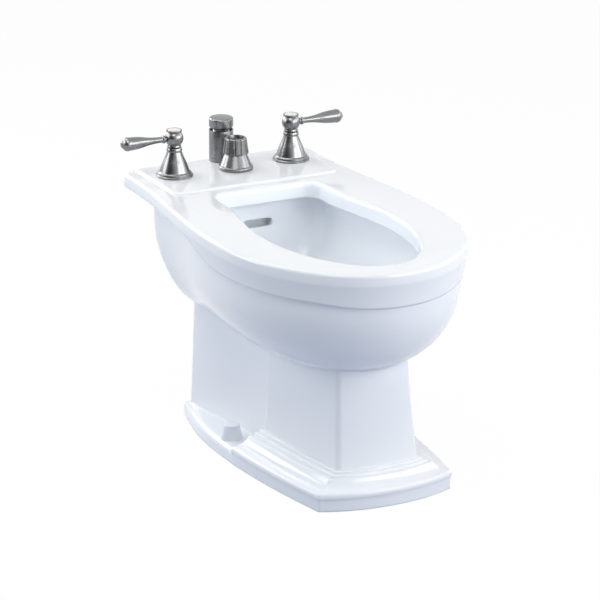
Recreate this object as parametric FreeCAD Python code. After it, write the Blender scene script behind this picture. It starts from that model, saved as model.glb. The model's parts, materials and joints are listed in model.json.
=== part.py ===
import FreeCAD, Part
import math
import os

# A floor-standing bidet: one hollow vitreous china casting with a four-hole faucet ledge, a vertical
# spray and a flushing rim, and its widespread faucet set, vacuum breaker, diverter and pop-up drain.
# Millimetres. The origin lies on the floor, midway between the two floor bolts. +Z is up, -Y is the
# front of the bowl and +Y is the wall side.

V = FreeCAD.Vector
UP = V(0, 0, 1)

# Overall form of the china
LEDGE_HEIGHT = 381.0
LEDGE_RAISE = 4.0
RIM_HALF_WIDTH = 190.0
RIM_WIDEST_Y = -99.0
RIM_TIP_Y = -353.0
DECK_HALF_WIDTH = 163.0
DECK_REAR_Y = 298.0
DECK_CORNER = 12.0
RIM_EDGE_ROUND = 6.0
RIM_TOP_TAPER = 3.0
SLAB_DEPTH = 22.0
SLAB_UNDER_ROUND = 5.0
APRON_DEPTH = 54.0
APRON_SIDE_DEPTH = 47.0
APRON_TIP_LENGTH = 70.0
APRON_DRAFT = 5.0
APRON_STEP = 4.0
APRON_RISE_START_Y = -110.0
APRON_RISE_END_Y = 70.0
RIM_TOP_Z = LEDGE_HEIGHT - LEDGE_RAISE

# Faucet ledge
LEDGE_HALF_WIDTH = 142.0
LEDGE_FRONT_Y = 141.0
LEDGE_REAR_INSET = 3.5
LEDGE_CORNER = 14.0
LEDGE_EDGE_ROUND = 3.0
DECK_THICKNESS = 12.0

# Opening of the rim and the curtain that hangs from it
OPEN_HALF_WIDTH = 110.0
OPEN_WIDEST_Y = -99.0
OPEN_TIP_Y = -306.0
OPEN_REAR_HALF_WIDTH = 88.0
OPEN_REAR_Y = 122.0
OPEN_CORNER = 26.0
OPEN_EDGE_ROUND = 6.0
CURTAIN_DEPTH = 26.0
CURTAIN_WALL = 9.0
CHANNEL_WIDTH = 13.0
CHANNEL_FRONT_WIDTH = 5.0

# Bowl inside
BOWL_DEPTH = 141.0
BOWL_FLOOR_Z = RIM_TOP_Z - BOWL_DEPTH
BOWL_FLOOR_HALF_WIDTH = 46.0
BOWL_FLOOR_TIP_Y = -150.0
BOWL_FLOOR_REAR_HALF_WIDTH = 42.0
BOWL_FLOOR_REAR_Y = 110.0
BOWL_WALL = 11.0

# Outer bowl between the apron and the pedestal
HULL_DEPTH = 187.0
HULL_BOTTOM_Z = RIM_TOP_Z - HULL_DEPTH
HULL_BOTTOM_HALF_WIDTH = 62.0
HULL_BOTTOM_TIP_Y = -205.0
HULL_BOTTOM_REAR_HALF_WIDTH = 93.0
HULL_BOTTOM_REAR_Y = 172.0
HULL_TOP_REAR_HALF_WIDTH = 153.0
HULL_TOP_REAR_Y = 203.0
HULL_CORNER = 8.0
HULL_FULLNESS = 2.1
HULL_REAR_FULLNESS = 1.65
SHELL_WALL = 12.0
SHELL_FRONT_WALL = 24.0

# Pedestal behind the front column
PEDESTAL_TOP_Z = BOWL_FLOOR_Z
PEDESTAL_REAR_Y = 172.0
PEDESTAL_REAR_HALF_WIDTH = 95.0
PEDESTAL_WAIST_HALF_WIDTH = 73.0
PEDESTAL_FRONT_Y = -75.0
PEDESTAL_FOOT_FLARE = 4.0
PEDESTAL_REAR_FOOT_FLARE = 10.0

# Front column
COLUMN_TOP_DEPTH = 115.0
COLUMN_TOP_Z = RIM_TOP_Z - COLUMN_TOP_DEPTH
COLUMN_TOP_HALF_WIDTH = 59.0
COLUMN_TOP_FRONT_Y = -248.0
COLUMN_TOP_REAR_HALF_WIDTH = 77.0
COLUMN_FOOT_HALF_WIDTH = 68.5
COLUMN_FOOT_FRONT_Y = -265.0
COLUMN_FOOT_REAR_HALF_WIDTH = 88.0
COLUMN_REAR_Y = -57.0
COLUMN_BOW = 8.0
COLUMN_EDGE_ROUND = 9.0

# Moulded plinth round the column
PLINTH_HEIGHT = 50.0
PLINTH_FRONT_HALF_WIDTH = 113.0
PLINTH_FRONT_Y = -289.0
PLINTH_REAR_HALF_WIDTH = 141.0
PLINTH_BOW = 24.0
PLINTH_SIDE_BOW = 9.0
PLINTH_CORNER_ROUND = 5.0
PLINTH_END_BEHIND_COLUMN = 7.0

# Foot ledge with the floor bolts
FOOT_HEIGHT = 23.0
FOOT_HALF_WIDTH = 140.7
FOOT_REAR_HALF_WIDTH = 108.0
FOOT_REAR_Y = 190.0
FOOT_EDGE_ROUND = 9.0
FLOOR_BOLT_SPACING = 232.0
FLOOR_BOLT_HOLE = 13.0

# Overflow passage
OVERFLOW_DROP = 64.0
OVERFLOW_Z = RIM_TOP_Z - OVERFLOW_DROP
OVERFLOW_SLOT_WIDTH = 50.0
OVERFLOW_SLOT_HEIGHT = 13.0
OVERFLOW_SKIN = 9.0
OVERFLOW_DEPTH = 12.0

# Holes through the china
HANDLE_SPACING = 203.2
HANDLE_Y = 231.0
BREAKER_Y = 274.4
DIVERTER_Y = 221.5
DECK_HOLE_RADIUS = 16.0
DRAIN_Y = 75.0
DRAIN_HOLE_RADIUS = 23.0
DRAIN_BOSS_RADIUS = 36.0
DRAIN_BOSS_DEPTH = 30.0
DRAIN_SEAT_Z = BOWL_FLOOR_Z - DRAIN_BOSS_DEPTH
SPRAY_Y = -35.0
SPRAY_HOLE_RADIUS = 10.5
RIM_INLET_DROP = 19.0
RIM_INLET_Z = RIM_TOP_Z - RIM_INLET_DROP
RIM_INLET_RADIUS = 5.0
RIM_INLET_REACH = 30.0
PORT_CLEARANCE = 0.3

# Handles, hot on the -X side and cold on the +X side; heights are above the ledge
BELL_RADIUS = 29.2
BELL_STEP_RADIUS = 26.4
BELL_FOOT_RADIUS = 23.8
BELL_MIDDLE_RADIUS = 18.4
BELL_NECK_RADIUS = 11.4
BELL_COLLAR_RADIUS = 12.6
BELL_BORE_RADIUS = 8.4
BELL_RIM_HEIGHT = 2.4
BELL_STEP_HEIGHT = 3.4
BELL_TIER_HEIGHT = 6.1
BELL_FOOT_HEIGHT = 7.5
BELL_MIDDLE_HEIGHT = 23.6
BELL_NECK_HEIGHT = 40.0
BELL_COLLAR_HEIGHT = 41.2
BELL_HEIGHT = 45.6
BELL_BULGE = 0.8
BELL_WALL = 2.6
HUB_GAP = 1.0
HUB_NECK_RADIUS = 10.2
HUB_NECK_BEAD = 1.0
HUB_RADIUS = 14.4
HUB_WAIST_RADIUS = 10.0
HUB_CENTRE_HEIGHT = 60.5
HUB_RING_RADIUS = 12.3
HUB_RING_BOTTOM = 71.4
HUB_RING_HEIGHT = 74.0
BUTTON_RADIUS = 10.6
BUTTON_HEIGHT = 75.0
BUTTON_THICKNESS = 3.2
BUTTON_DOME = 1.2
LEVER_ROOT_REACH = 13.8
LEVER_BEAD_REACH = 18.5
LEVER_BEAD_RADIUS = 6.4
LEVER_BEAD_WIDTH = 5.0
LEVER_NECK_RADIUS = 4.6
LEVER_NECK_REACH = 22.5
LEVER_SWELL_RADIUS = 7.4
LEVER_SWELL_REACH = 50.0
LEVER_SWELL_BULGE = 0.73
LEVER_GRIP_RADIUS = 10.4
LEVER_GRIP_REACH = 77.0
LEVER_END_REACH = 87.6
LEVER_END_BULGE = 2.6
LEVER_TIP_RADIUS = 5.2
LEVER_TIP_BEVEL = 1.0
LEVER_REACH = 90.0
LEVER_TENON_RADIUS = 4.0
LEVER_TENON_REACH = 9.0
STEM_RADIUS = 6.0
STEM_TOP_HEIGHT = 62.0
STEM_DEPTH = 34.0
SCREW_RADIUS = 2.5
SCREW_LENGTH = 18.0
SCREW_HEAD_RADIUS = 4.6
SCREW_HEAD_HEIGHT = 3.0
RUNNING_CLEARANCE = 0.06
FREE_CLEARANCE = 0.4

# Valves under the deck, depths below the ledge's top face
SHANK_RADIUS = 14.0
FLANGE_RADIUS = 17.6
FLANGE_THICKNESS = 3.0
VALVE_BODY_RADIUS = 17.0
VALVE_DEPTH = 64.0
VALVE_SHOULDER_DEPTH = 27.0
WASHER_RADIUS = 21.0
WASHER_THICKNESS = 2.0
LOCKNUT_RADIUS = 20.0
LOCKNUT_THICKNESS = 6.0
PORT_DEPTH = 50.0
PORT_RADIUS = 8.0
PORT_REACH = 21.0
INLET_RADIUS = 10.4
INLET_LENGTH = 28.0
TUBE_RADIUS = 5.0
TUBE_WALL = 0.8
TUBE_SEAT = 5.0
TUBE_BEND_RADIUS = 12.0

# Vacuum breaker
BREAKER_RADIUS = 19.3
BREAKER_SLEEVE_HEIGHT = 51.0
BREAKER_SLEEVE_WALL = 1.4
BREAKER_CAP_BOTTOM = 55.0
BREAKER_HEIGHT = 70.5
BREAKER_CAP_BEVEL = 1.6
BREAKER_POST_RADIUS = 1.4
BREAKER_POSTS = 4
BREAKER_NECK_RADIUS = 13.0
BREAKER_CUP_RADIUS = 9.0
BREAKER_CUP_DEPTH = 12.0
FLOAT_THICKNESS = 4.0
FLOAT_STEM_RADIUS = 2.0
FLOAT_STEM_LENGTH = 14.0

# Diverter and the lift knob in its top
COLLAR_RADIUS = 27.0
COLLAR_ROUND_BULGE = 1.2
COLLAR_SHOULDER_RADIUS = 24.4
COLLAR_EDGE_HEIGHT = 3.0
COLLAR_FOOT_HEIGHT = 6.4
COLLAR_TOP_RADIUS = 17.4
COLLAR_HEIGHT = 25.5
COLLAR_WALL = 2.4
KNOB_BOTTOM_RADIUS = 20.4
KNOB_TOP_RADIUS = 17.4
KNOB_HEIGHT = 51.0
KNOB_EDGE_ROUND = 2.4
KNOB_GROOVES = 12
KNOB_GROOVE_RADIUS = 1.7
KNOB_WELL_RADIUS = 13.0
KNOB_WELL_DEPTH = 11.0
LIFT_KNOB_RADIUS = 9.0
LIFT_KNOB_NECK_RADIUS = 4.0
LIFT_KNOB_NECK_HEIGHT = 3.0
LIFT_KNOB_EDGE_HEIGHT = 6.0
LIFT_KNOB_HEIGHT = 9.0
LIFT_ROD_RADIUS = 2.4
LIFT_TRAVEL = 25.0

# Pop-up drain, heights above the floor
FLANGE_CUP_RADIUS = 22.0
FLANGE_SEAT_DROP = 2.4
DRAIN_FLANGE_RADIUS = 30.0
DRAIN_FLANGE_EDGE = 1.2
DRAIN_FLANGE_RISE = 2.6
DRAIN_TUBE_RADIUS = 19.0
DRAIN_BORE_RADIUS = 16.6
DRAIN_TUBE_LENGTH = 26.0
DRAIN_TUBE_END_Z = DRAIN_SEAT_Z - DRAIN_TUBE_LENGTH
GASKET_RADIUS = 31.0
GASKET_THICKNESS = 6.0
DRAIN_NUT_RADIUS = 31.0
DRAIN_NUT_THICKNESS = 8.0
DRAIN_BODY_RADIUS = 22.0
DRAIN_BODY_REACH = 78.0
DRAIN_BODY_END_Z = DRAIN_SEAT_Z - DRAIN_BODY_REACH
PIVOT_DROP = 56.0
PIVOT_Z = DRAIN_SEAT_Z - PIVOT_DROP
PIVOT_OFFSET = 29.0
PIVOT_BALL_RADIUS = 6.5
PIVOT_ROD_RADIUS = 3.0
PIVOT_TIP_REACH = 4.0
PIVOT_TAIL_REACH = 12.0
PIVOT_PORT_RADIUS = 11.0
PIVOT_NUT_RADIUS = 13.5
PIVOT_NUT_LENGTH = 9.0
PIVOT_NUT_LIP = 2.0
PIVOT_MOUTH_RADIUS = 5.6
TAILPIECE_RADIUS = 15.875
TAILPIECE_WALL = 1.2
TAILPIECE_NECK_RADIUS = 15.4
TAILPIECE_LAP = 14.0
TAILPIECE_TOP_Z = DRAIN_BODY_END_Z + TAILPIECE_LAP
TAILPIECE_END_Z = 52.0
SLIP_NUT_RADIUS = 26.0
SLIP_NUT_HEIGHT = 10.0
SLIP_NUT_LIP = 3.0
STOPPER_RADIUS = 20.6
STOPPER_ROOT_RADIUS = 16.0
STOPPER_EDGE = 0.8
STOPPER_DOME = 1.4
STOPPER_STEM_RADIUS = 4.0
STOPPER_FIN_REACH = 16.3
STOPPER_FIN_THICKNESS = 1.6
STOPPER_FIN_HEIGHT = 22.0
STOPPER_EYE_WIDTH = 12.0
STOPPER_EYE_THICKNESS = 4.0
EYE_RADIUS = 4.2
STRAP_WIDTH = 14.0
STRAP_THICKNESS = 1.6
STRAP_SETBACK = 5.7
STRAP_TOP_DROP = 95.0
STRAP_TOP_Z = LEDGE_HEIGHT - STRAP_TOP_DROP
STRAP_TAIL = 16.0
STRAP_END_Z = PIVOT_Z - STRAP_TAIL
STRAP_SCREW_DROP = 9.0
STRAP_SCREW_Z = STRAP_TOP_Z - STRAP_SCREW_DROP
STRAP_SCREW_RADIUS = 2.4
STRAP_SCREW_LENGTH = 10.0
STRAP_SCREW_HEAD_RADIUS = 5.4
STRAP_SCREW_HEAD_LENGTH = 5.0
STRAP_BLOCK_SIZE = 10.0
ROD_LAP = 20.0
ROD_END_Z = STRAP_TOP_Z - ROD_LAP

# Spray
ROSE_RADIUS = 15.0
ROSE_EDGE = 2.0
ROSE_HEIGHT = 8.0
ROSE_SHANK_RADIUS = 10.2
ROSE_SHANK_DROP = 46.0
ROSE_SHANK_END_Z = BOWL_FLOOR_Z - ROSE_SHANK_DROP
ROSE_JETS = 6
ROSE_JET_RADIUS = 1.3
ROSE_JET_CIRCLE_RADIUS = 4.0
SPRAY_NUT_RADIUS = 16.0
SPRAY_NUT_THICKNESS = 7.0
SPRAY_WASHER_THICKNESS = 2.0
SPRAY_TUBE_OFFSET = 74.0
SPRAY_TUBE_DROP = 28.0
SPRAY_TUBE_Z = ROSE_SHANK_END_Z - SPRAY_TUBE_DROP

# Floor bolt caps
CAP_BASE_RADIUS = 17.0
CAP_TOP_RADIUS = 12.4
CAP_BEVEL = 1.6
CAP_HEIGHT = 22.5
CAP_WALL = 1.6
CAP_SEAT_RADIUS = 14.5
CAP_SEAT_THICKNESS = 2.4

# Fixed shares of the curves
ROUND_SHARE = 0.5523
RIM_FRONT_SHARE = 0.575
SIDE_EASE_SHARE = 0.45
SWEEP_SHARE = 0.4
HULL_LEVEL_SHARES = (0.0, 0.03, 0.1, 0.22, 0.4, 0.66, 1.0)
CAVITY_LEVEL_SHARES = (0.0, 0.2, 1.0)
BOWL_LEVEL_SHARES = (0.0, 0.03, 0.12, 0.3, 0.6, 1.0)
SHELL_LEVEL_SHARES = (0.0, 0.15, 1.0)
EDGE_ROUND_STEPS = 3
COLUMN_LEVEL_SHARES = (1.0, 0.7, 0.35, 0.0)
DUCT_LEVEL_SHARES = (0.67, 0.4, 0.15, 0.0)
PLINTH_PROFILE_SHARES = (
    ((0.04, 0.0), (0.04, 0.36), (0.0, 0.4), (0.0, 0.51), (0.06, 0.58), (0.3, 0.62),
     (0.45, 0.69), (0.58, 0.86)),
    ((0.72, 0.0), (0.72, 0.93)),
    ((0.88, 0.0), (0.88, 1.0)),
)

OVERRUN = 2.0
TINY_LAP = 0.5


def bezier(points):
    curve = Part.BezierCurve()
    curve.setPoles([V(*p) for p in points])
    return curve.toShape()


def cylinder(radius, length, at, along=UP):
    return Part.makeCylinder(radius, length, V(*at), along)


def box(low, high):
    size = V(*high) - V(*low)
    return Part.makeBox(size.x, size.y, size.z, V(*low))


def mirrored_wire(half, z):
    """A level closed wire from pole lists of its right half, from the rear centre to the front centre."""
    right = [bezier([(x, y, z) for x, y in poles]) for poles in half]
    left = [bezier([(-x, y, z) for x, y in reversed(poles)]) for poles in reversed(half)]
    return Part.Wire(right + left)


def egg(z, wide, wide_y, tip_y, rear, rear_y, corner, front_share=ROUND_SHARE):
    """Straight rear edge, round corners, sides that ease out to the widest place, and a round front."""
    bite = corner * (1 - ROUND_SHARE)
    ease = (rear_y - corner - wide_y) * SIDE_EASE_SHARE
    reach = (wide_y - tip_y) * front_share
    return mirrored_wire([
        [(0, rear_y), (rear - corner, rear_y)],
        [(rear - corner, rear_y), (rear - bite, rear_y), (rear, rear_y - bite), (rear, rear_y - corner)],
        [(rear, rear_y - corner), (rear, rear_y - corner - ease), (wide, wide_y + ease), (wide, wide_y)],
        [(wide, wide_y), (wide, wide_y - reach), (wide * front_share, tip_y), (0, tip_y)],
    ], z)


def loft(wires):
    """A solid of straight bands from one level wire to the next."""
    return Part.makeLoft(wires, True, True)


def prism(wire, z_high):
    low = wire.BoundBox.ZMin
    return Part.Face(wire).extrude(UP * (z_high - low))


def blend(a, b, share):
    return a + (b - a) * share


def round_over(radius, z_top):
    """Inset and height of each level of an edge rounded off below z_top."""
    turns = [math.pi / 2 * i / EDGE_ROUND_STEPS for i in range(EDGE_ROUND_STEPS + 1)]
    return [(radius * (1 - math.cos(t)), z_top - radius * (1 - math.sin(t))) for t in turns]


def rim_outline(z, inset=0):
    return egg(z, RIM_HALF_WIDTH - inset, RIM_WIDEST_Y, RIM_TIP_Y + inset,
               DECK_HALF_WIDTH - inset, DECK_REAR_Y - inset, DECK_CORNER, RIM_FRONT_SHARE)


def open_outline(z, grow=0, grow_front=None):
    front = grow if grow_front is None else grow_front
    return egg(z, OPEN_HALF_WIDTH + grow, OPEN_WIDEST_Y, OPEN_TIP_Y - front,
               OPEN_REAR_HALF_WIDTH + grow, OPEN_REAR_Y + grow, OPEN_CORNER + grow)


def swell(share, fullness):
    """How far a bowl has opened at a share of its height: steep above, rounding in below."""
    return (1 - (1 - share) ** fullness) ** (1 / fullness)


def hull_outline(share, inset=0, front_inset=0, rear_extra=0):
    """A level section of the outer bowl: share 0 is its bottom and 1 is the crease under the apron."""
    s = swell(share, HULL_FULLNESS)
    back = swell(share, HULL_REAR_FULLNESS)
    z = blend(HULL_BOTTOM_Z, RIM_TOP_Z - APRON_DEPTH, share) + inset * (1 - share)
    shy = APRON_DRAFT + APRON_STEP
    return egg(z, blend(HULL_BOTTOM_HALF_WIDTH, RIM_HALF_WIDTH - shy, s) - inset, RIM_WIDEST_Y,
               blend(HULL_BOTTOM_TIP_Y, RIM_TIP_Y + shy, s) + front_inset,
               blend(HULL_BOTTOM_REAR_HALF_WIDTH, HULL_TOP_REAR_HALF_WIDTH, back) - inset,
               blend(HULL_BOTTOM_REAR_Y, HULL_TOP_REAR_Y, back) + rear_extra, HULL_CORNER,
               RIM_FRONT_SHARE)


def hull():
    walls = loft([hull_outline(q) for q in HULL_LEVEL_SHARES])
    return walls.fuse(prism(hull_outline(1), RIM_TOP_Z - SLAB_DEPTH + TINY_LAP))


def bowl_outline(share, wall=0):
    """A level section of the bowl's inside: share 0 is its floor and 1 is the underside of the curtain."""
    s = swell(share, HULL_FULLNESS)
    z = blend(BOWL_FLOOR_Z, RIM_TOP_Z - CURTAIN_DEPTH, share) - wall * (1 - share)
    side = CURTAIN_WALL + CHANNEL_WIDTH
    return egg(z, blend(BOWL_FLOOR_HALF_WIDTH, OPEN_HALF_WIDTH + side, s) + wall, OPEN_WIDEST_Y,
               blend(BOWL_FLOOR_TIP_Y, OPEN_TIP_Y - CURTAIN_WALL - CHANNEL_FRONT_WIDTH, s) - wall,
               blend(BOWL_FLOOR_REAR_HALF_WIDTH, OPEN_REAR_HALF_WIDTH + side, s) + wall,
               blend(BOWL_FLOOR_REAR_Y, OPEN_REAR_Y + side, s) + wall, OPEN_CORNER + wall)


def bowl_solid(shares, wall, z_top):
    walls = loft([bowl_outline(q, wall) for q in shares])
    return walls.fuse(prism(bowl_outline(1, wall), z_top))


def top_slab():
    """The rim and deck slab, with its opening and its rounded edges."""
    mid_z = RIM_TOP_Z - SLAB_DEPTH
    levels = [(SLAB_UNDER_ROUND / 2, mid_z), (0, mid_z + SLAB_UNDER_ROUND)]
    levels += [(RIM_TOP_TAPER + i, z) for i, z in round_over(RIM_EDGE_ROUND, RIM_TOP_Z)]
    slab = loft([rim_outline(z, i) for i, z in levels])
    levels = [(i, z) for i, z in round_over(OPEN_EDGE_ROUND, RIM_TOP_Z)]
    levels = [(0.0, mid_z - OVERRUN)] + levels + [(OPEN_EDGE_ROUND, RIM_TOP_Z + OVERRUN)]
    return slab.cut(loft([open_outline(z, i) for i, z in levels]))


def apron():
    """The band under the slab: deepest at the front tip, and swept up to nothing where the deck begins."""
    top_z = RIM_TOP_Z - SLAB_DEPTH + SLAB_UNDER_ROUND
    low_z = RIM_TOP_Z - APRON_DEPTH
    side_z = RIM_TOP_Z - APRON_SIDE_DEPTH
    band = loft([rim_outline(low_z, APRON_DRAFT), rim_outline(top_z)])
    tip, tip_end = RIM_TIP_Y, RIM_TIP_Y + APRON_TIP_LENGTH
    tip_sweep = APRON_TIP_LENGTH * SWEEP_SHARE
    start, end = APRON_RISE_START_Y, APRON_RISE_END_Y
    sweep = (end - start) * SWEEP_SHARE
    rear, below = DECK_REAR_Y + OVERRUN, low_z - OVERRUN
    runs = [
        [(tip, low_z), (tip + tip_sweep, low_z), (tip_end - tip_sweep, side_z), (tip_end, side_z)],
        [(tip_end, side_z), (start, side_z)],
        [(start, side_z), (start + sweep, side_z), (end - sweep, top_z), (end, top_z)],
        [(end, top_z), (rear, top_z)],
        [(rear, top_z), (rear, below)],
        [(rear, below), (tip, below)],
        [(tip, below), (tip, low_z)],
    ]
    side = RIM_HALF_WIDTH + OVERRUN
    profile = Part.Wire([bezier([(-side, y, z) for y, z in poles]) for poles in runs])
    return band.cut(Part.Face(profile).extrude(V(2 * side, 0, 0)))


def ledge_outline(z, inset=0):
    wide = LEDGE_HALF_WIDTH - inset
    rear = DECK_REAR_Y - RIM_TOP_TAPER - LEDGE_REAR_INSET - inset
    front = LEDGE_FRONT_Y + inset
    bite = LEDGE_CORNER * (1 - ROUND_SHARE)
    return mirrored_wire([
        [(0, rear), (wide, rear)],
        [(wide, rear), (wide, front + LEDGE_CORNER)],
        [(wide, front + LEDGE_CORNER), (wide, front + bite), (wide - bite, front),
         (wide - LEDGE_CORNER, front)],
        [(wide - LEDGE_CORNER, front), (0, front)],
    ], z)


def faucet_ledge():
    """The low raised platform that the four faucet holes go through."""
    levels = round_over(LEDGE_EDGE_ROUND, LEDGE_HEIGHT)
    return loft([ledge_outline(RIM_TOP_Z - RIM_EDGE_ROUND)] + [ledge_outline(z, i) for i, z in levels])


def pedestal_outline(z):
    """The foot's flare is largest at the rear and dies away towards the bowl."""
    rise = 1 - z / PEDESTAL_TOP_Z
    rear = PEDESTAL_REAR_HALF_WIDTH + PEDESTAL_REAR_FOOT_FLARE * rise
    waist = PEDESTAL_WAIST_HALF_WIDTH + PEDESTAL_FOOT_FLARE * rise
    ease = (PEDESTAL_REAR_Y - PEDESTAL_FRONT_Y) * SIDE_EASE_SHARE
    front = PEDESTAL_FRONT_Y
    return mirrored_wire([
        [(0, PEDESTAL_REAR_Y), (rear, PEDESTAL_REAR_Y)],
        [(rear, PEDESTAL_REAR_Y), (rear, PEDESTAL_REAR_Y - ease / 2), (waist, front + ease), (waist, front)],
        [(waist, front), (0, front)],
    ], z)


def pedestal():
    """The skirt behind the column: hollow-sided, and flared to the rear and towards its foot."""
    return loft([pedestal_outline(0), pedestal_outline(PEDESTAL_TOP_Z)])


def bowed_outline(z, front, front_y, rear, rear_y, bow, corner, side_bow=0):
    """Tapering sides that may bow out, small round corners and a bowed front."""
    way = V(front - rear, front_y - rear_y, 0).normalize()
    side_end = (front - way.x * corner, front_y - way.y * corner)
    side_middle = ((rear + side_end[0]) / 2 - way.y * side_bow, (rear_y + side_end[1]) / 2 + way.x * side_bow)
    front_end = (front - corner, front_y - bow * corner / front)
    tip = front_y - bow
    return mirrored_wire([
        [(0, rear_y), (rear, rear_y)],
        [(rear, rear_y), side_middle, side_end],
        [side_end, (front, front_y), front_end],
        [front_end, (front_end[0] * ROUND_SHARE, tip), (0, tip)],
    ], z)


def column_outline(z, share):
    """Share 0 is the column's top and 1 is its foot; the flare gathers towards the foot."""
    s = share ** 2
    return bowed_outline(z, blend(COLUMN_TOP_HALF_WIDTH, COLUMN_FOOT_HALF_WIDTH, s),
                         blend(COLUMN_TOP_FRONT_Y, COLUMN_FOOT_FRONT_Y, s),
                         blend(COLUMN_TOP_REAR_HALF_WIDTH, COLUMN_FOOT_REAR_HALF_WIDTH, s),
                         COLUMN_REAR_Y, COLUMN_BOW, COLUMN_EDGE_ROUND)


def column():
    """The panel-like front column, from inside the bowl down to the floor."""
    levels = [(0, 1)] + [(blend(COLUMN_TOP_Z, PLINTH_HEIGHT, q), q) for q in COLUMN_LEVEL_SHARES]
    return loft([column_outline(z, q) for z, q in levels])


def plinth_outline(z, share):
    """Share 0 is the plinth's outermost face and 1 is the column's foot."""
    return bowed_outline(z, blend(PLINTH_FRONT_HALF_WIDTH, COLUMN_FOOT_HALF_WIDTH, share),
                         blend(PLINTH_FRONT_Y, COLUMN_FOOT_FRONT_Y, share),
                         blend(PLINTH_REAR_HALF_WIDTH, COLUMN_FOOT_REAR_HALF_WIDTH, share),
                         COLUMN_REAR_Y + PLINTH_END_BEHIND_COLUMN,
                         blend(PLINTH_BOW, COLUMN_BOW, share), PLINTH_CORNER_ROUND,
                         blend(PLINTH_SIDE_BOW, 0, share))


def plinth():
    """Fascia, roll, hollow and two small steps, one band on another up to the column."""
    stacks = [loft([plinth_outline(h * PLINTH_HEIGHT, s) for s, h in stack])
              for stack in PLINTH_PROFILE_SHARES]
    return stacks[0].multiFuse(stacks[1:])


def foot_outline(z, inset=0):
    front = COLUMN_REAR_Y - TINY_LAP
    rear = FOOT_REAR_Y - inset
    ease = (rear - front) * SIDE_EASE_SHARE
    wide = FOOT_HALF_WIDTH - inset
    back = FOOT_REAR_HALF_WIDTH - inset
    return mirrored_wire([
        [(0, rear), (back, rear)],
        [(back, rear), (wide, rear - ease), (wide, front + ease), (wide, front)],
        [(wide, front), (0, front)],
    ], z)


def foot_ledge():
    """The low foot on each side behind the plinth, which the floor bolts go through."""
    levels = round_over(FOOT_EDGE_ROUND, FOOT_HEIGHT)
    return loft([foot_outline(0.0)] + [foot_outline(z, i) for i, z in levels])


def straight_hollow(half, low, high):
    """A plain hollow with upright straight sides, from the corners of its right half."""
    corners = half + [(-x, y) for x, y in reversed(half)]
    wire = Part.makePolygon([V(x, y, low) for x, y in corners + corners[:1]])
    return prism(wire, high)


def cavity():
    """The hollow inside the casting: open underneath and at the rear, and reaching up under the deck."""
    far = DECK_REAR_Y - HULL_TOP_REAR_Y + OVERRUN
    belly = loft([hull_outline(q, SHELL_WALL, SHELL_FRONT_WALL, far) for q in CAVITY_LEVEL_SHARES])
    crest = prism(hull_outline(1, SHELL_WALL, SHELL_FRONT_WALL, far), RIM_TOP_Z - SLAB_DEPTH)
    low = RIM_TOP_Z - SLAB_DEPTH - TINY_LAP
    high = RIM_TOP_Z - DECK_THICKNESS
    attic = prism(rim_outline(low, SHELL_WALL), high)
    gate_half = DECK_HALF_WIDTH - 2 * SHELL_WALL
    gate = box((-gate_half, HULL_TOP_REAR_Y, low), (gate_half, DECK_REAR_Y + OVERRUN, high))
    back = PEDESTAL_REAR_HALF_WIDTH - SHELL_WALL
    skirt = straight_hollow([(back, FOOT_REAR_Y + OVERRUN), (back, PEDESTAL_REAR_Y),
                             (PEDESTAL_WAIST_HALF_WIDTH - SHELL_WALL, PEDESTAL_FRONT_Y)],
                            -OVERRUN, PEDESTAL_TOP_Z)
    panel = straight_hollow([(COLUMN_TOP_REAR_HALF_WIDTH - SHELL_WALL, COLUMN_REAR_Y),
                             (COLUMN_TOP_HALF_WIDTH - SHELL_WALL, COLUMN_TOP_FRONT_Y + SHELL_WALL)],
                            -OVERRUN, PEDESTAL_TOP_Z)
    return belly.multiFuse([crest, attic, gate, skirt, panel])


def overflow_duct(skin_near, skin_far, half_width, lap):
    """A passage behind the bowl's rear wall and under its floor, as far as the drain hole."""
    near, far = [], []
    for q in DUCT_LEVEL_SHARES:
        s = swell(q, HULL_FULLNESS)
        y = blend(BOWL_FLOOR_REAR_Y, OPEN_REAR_Y + CURTAIN_WALL + CHANNEL_WIDTH, s)
        z = blend(BOWL_FLOOR_Z, RIM_TOP_Z - CURTAIN_DEPTH, q)
        near.append((y + skin_near * s, z - skin_near * (1 - s)))
        far.append((y + skin_far * s, z - skin_far * (1 - s)))
    top = OVERFLOW_Z + OVERFLOW_SLOT_HEIGHT / 2 + lap
    floor = [(DRAIN_Y, BOWL_FLOOR_Z - skin_near), (DRAIN_Y, BOWL_FLOOR_Z - skin_far)]
    points = [(near[0][0], top)] + near + floor
    points += list(reversed(far)) + [(far[0][0], top)]
    wire = Part.makePolygon([V(-half_width, y, z) for y, z in points + points[:1]])
    return Part.Face(wire).extrude(V(2 * half_width, 0, 0))


def overflow_slot():
    """The round-ended slot high in the bowl's rear wall."""
    r = OVERFLOW_SLOT_HEIGHT / 2
    reach = OVERFLOW_SLOT_WIDTH / 2 - r
    y = OPEN_REAR_Y
    depth = CURTAIN_WALL + CHANNEL_WIDTH + OVERFLOW_SKIN + OVERFLOW_DEPTH / 2
    ends = [cylinder(r, depth, (x, y, OVERFLOW_Z), V(0, 1, 0)) for x in (-reach, reach)]
    return ends[0].multiFuse([ends[1], box((-reach, y, OVERFLOW_Z - r), (reach, y + depth, OVERFLOW_Z + r))])


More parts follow.
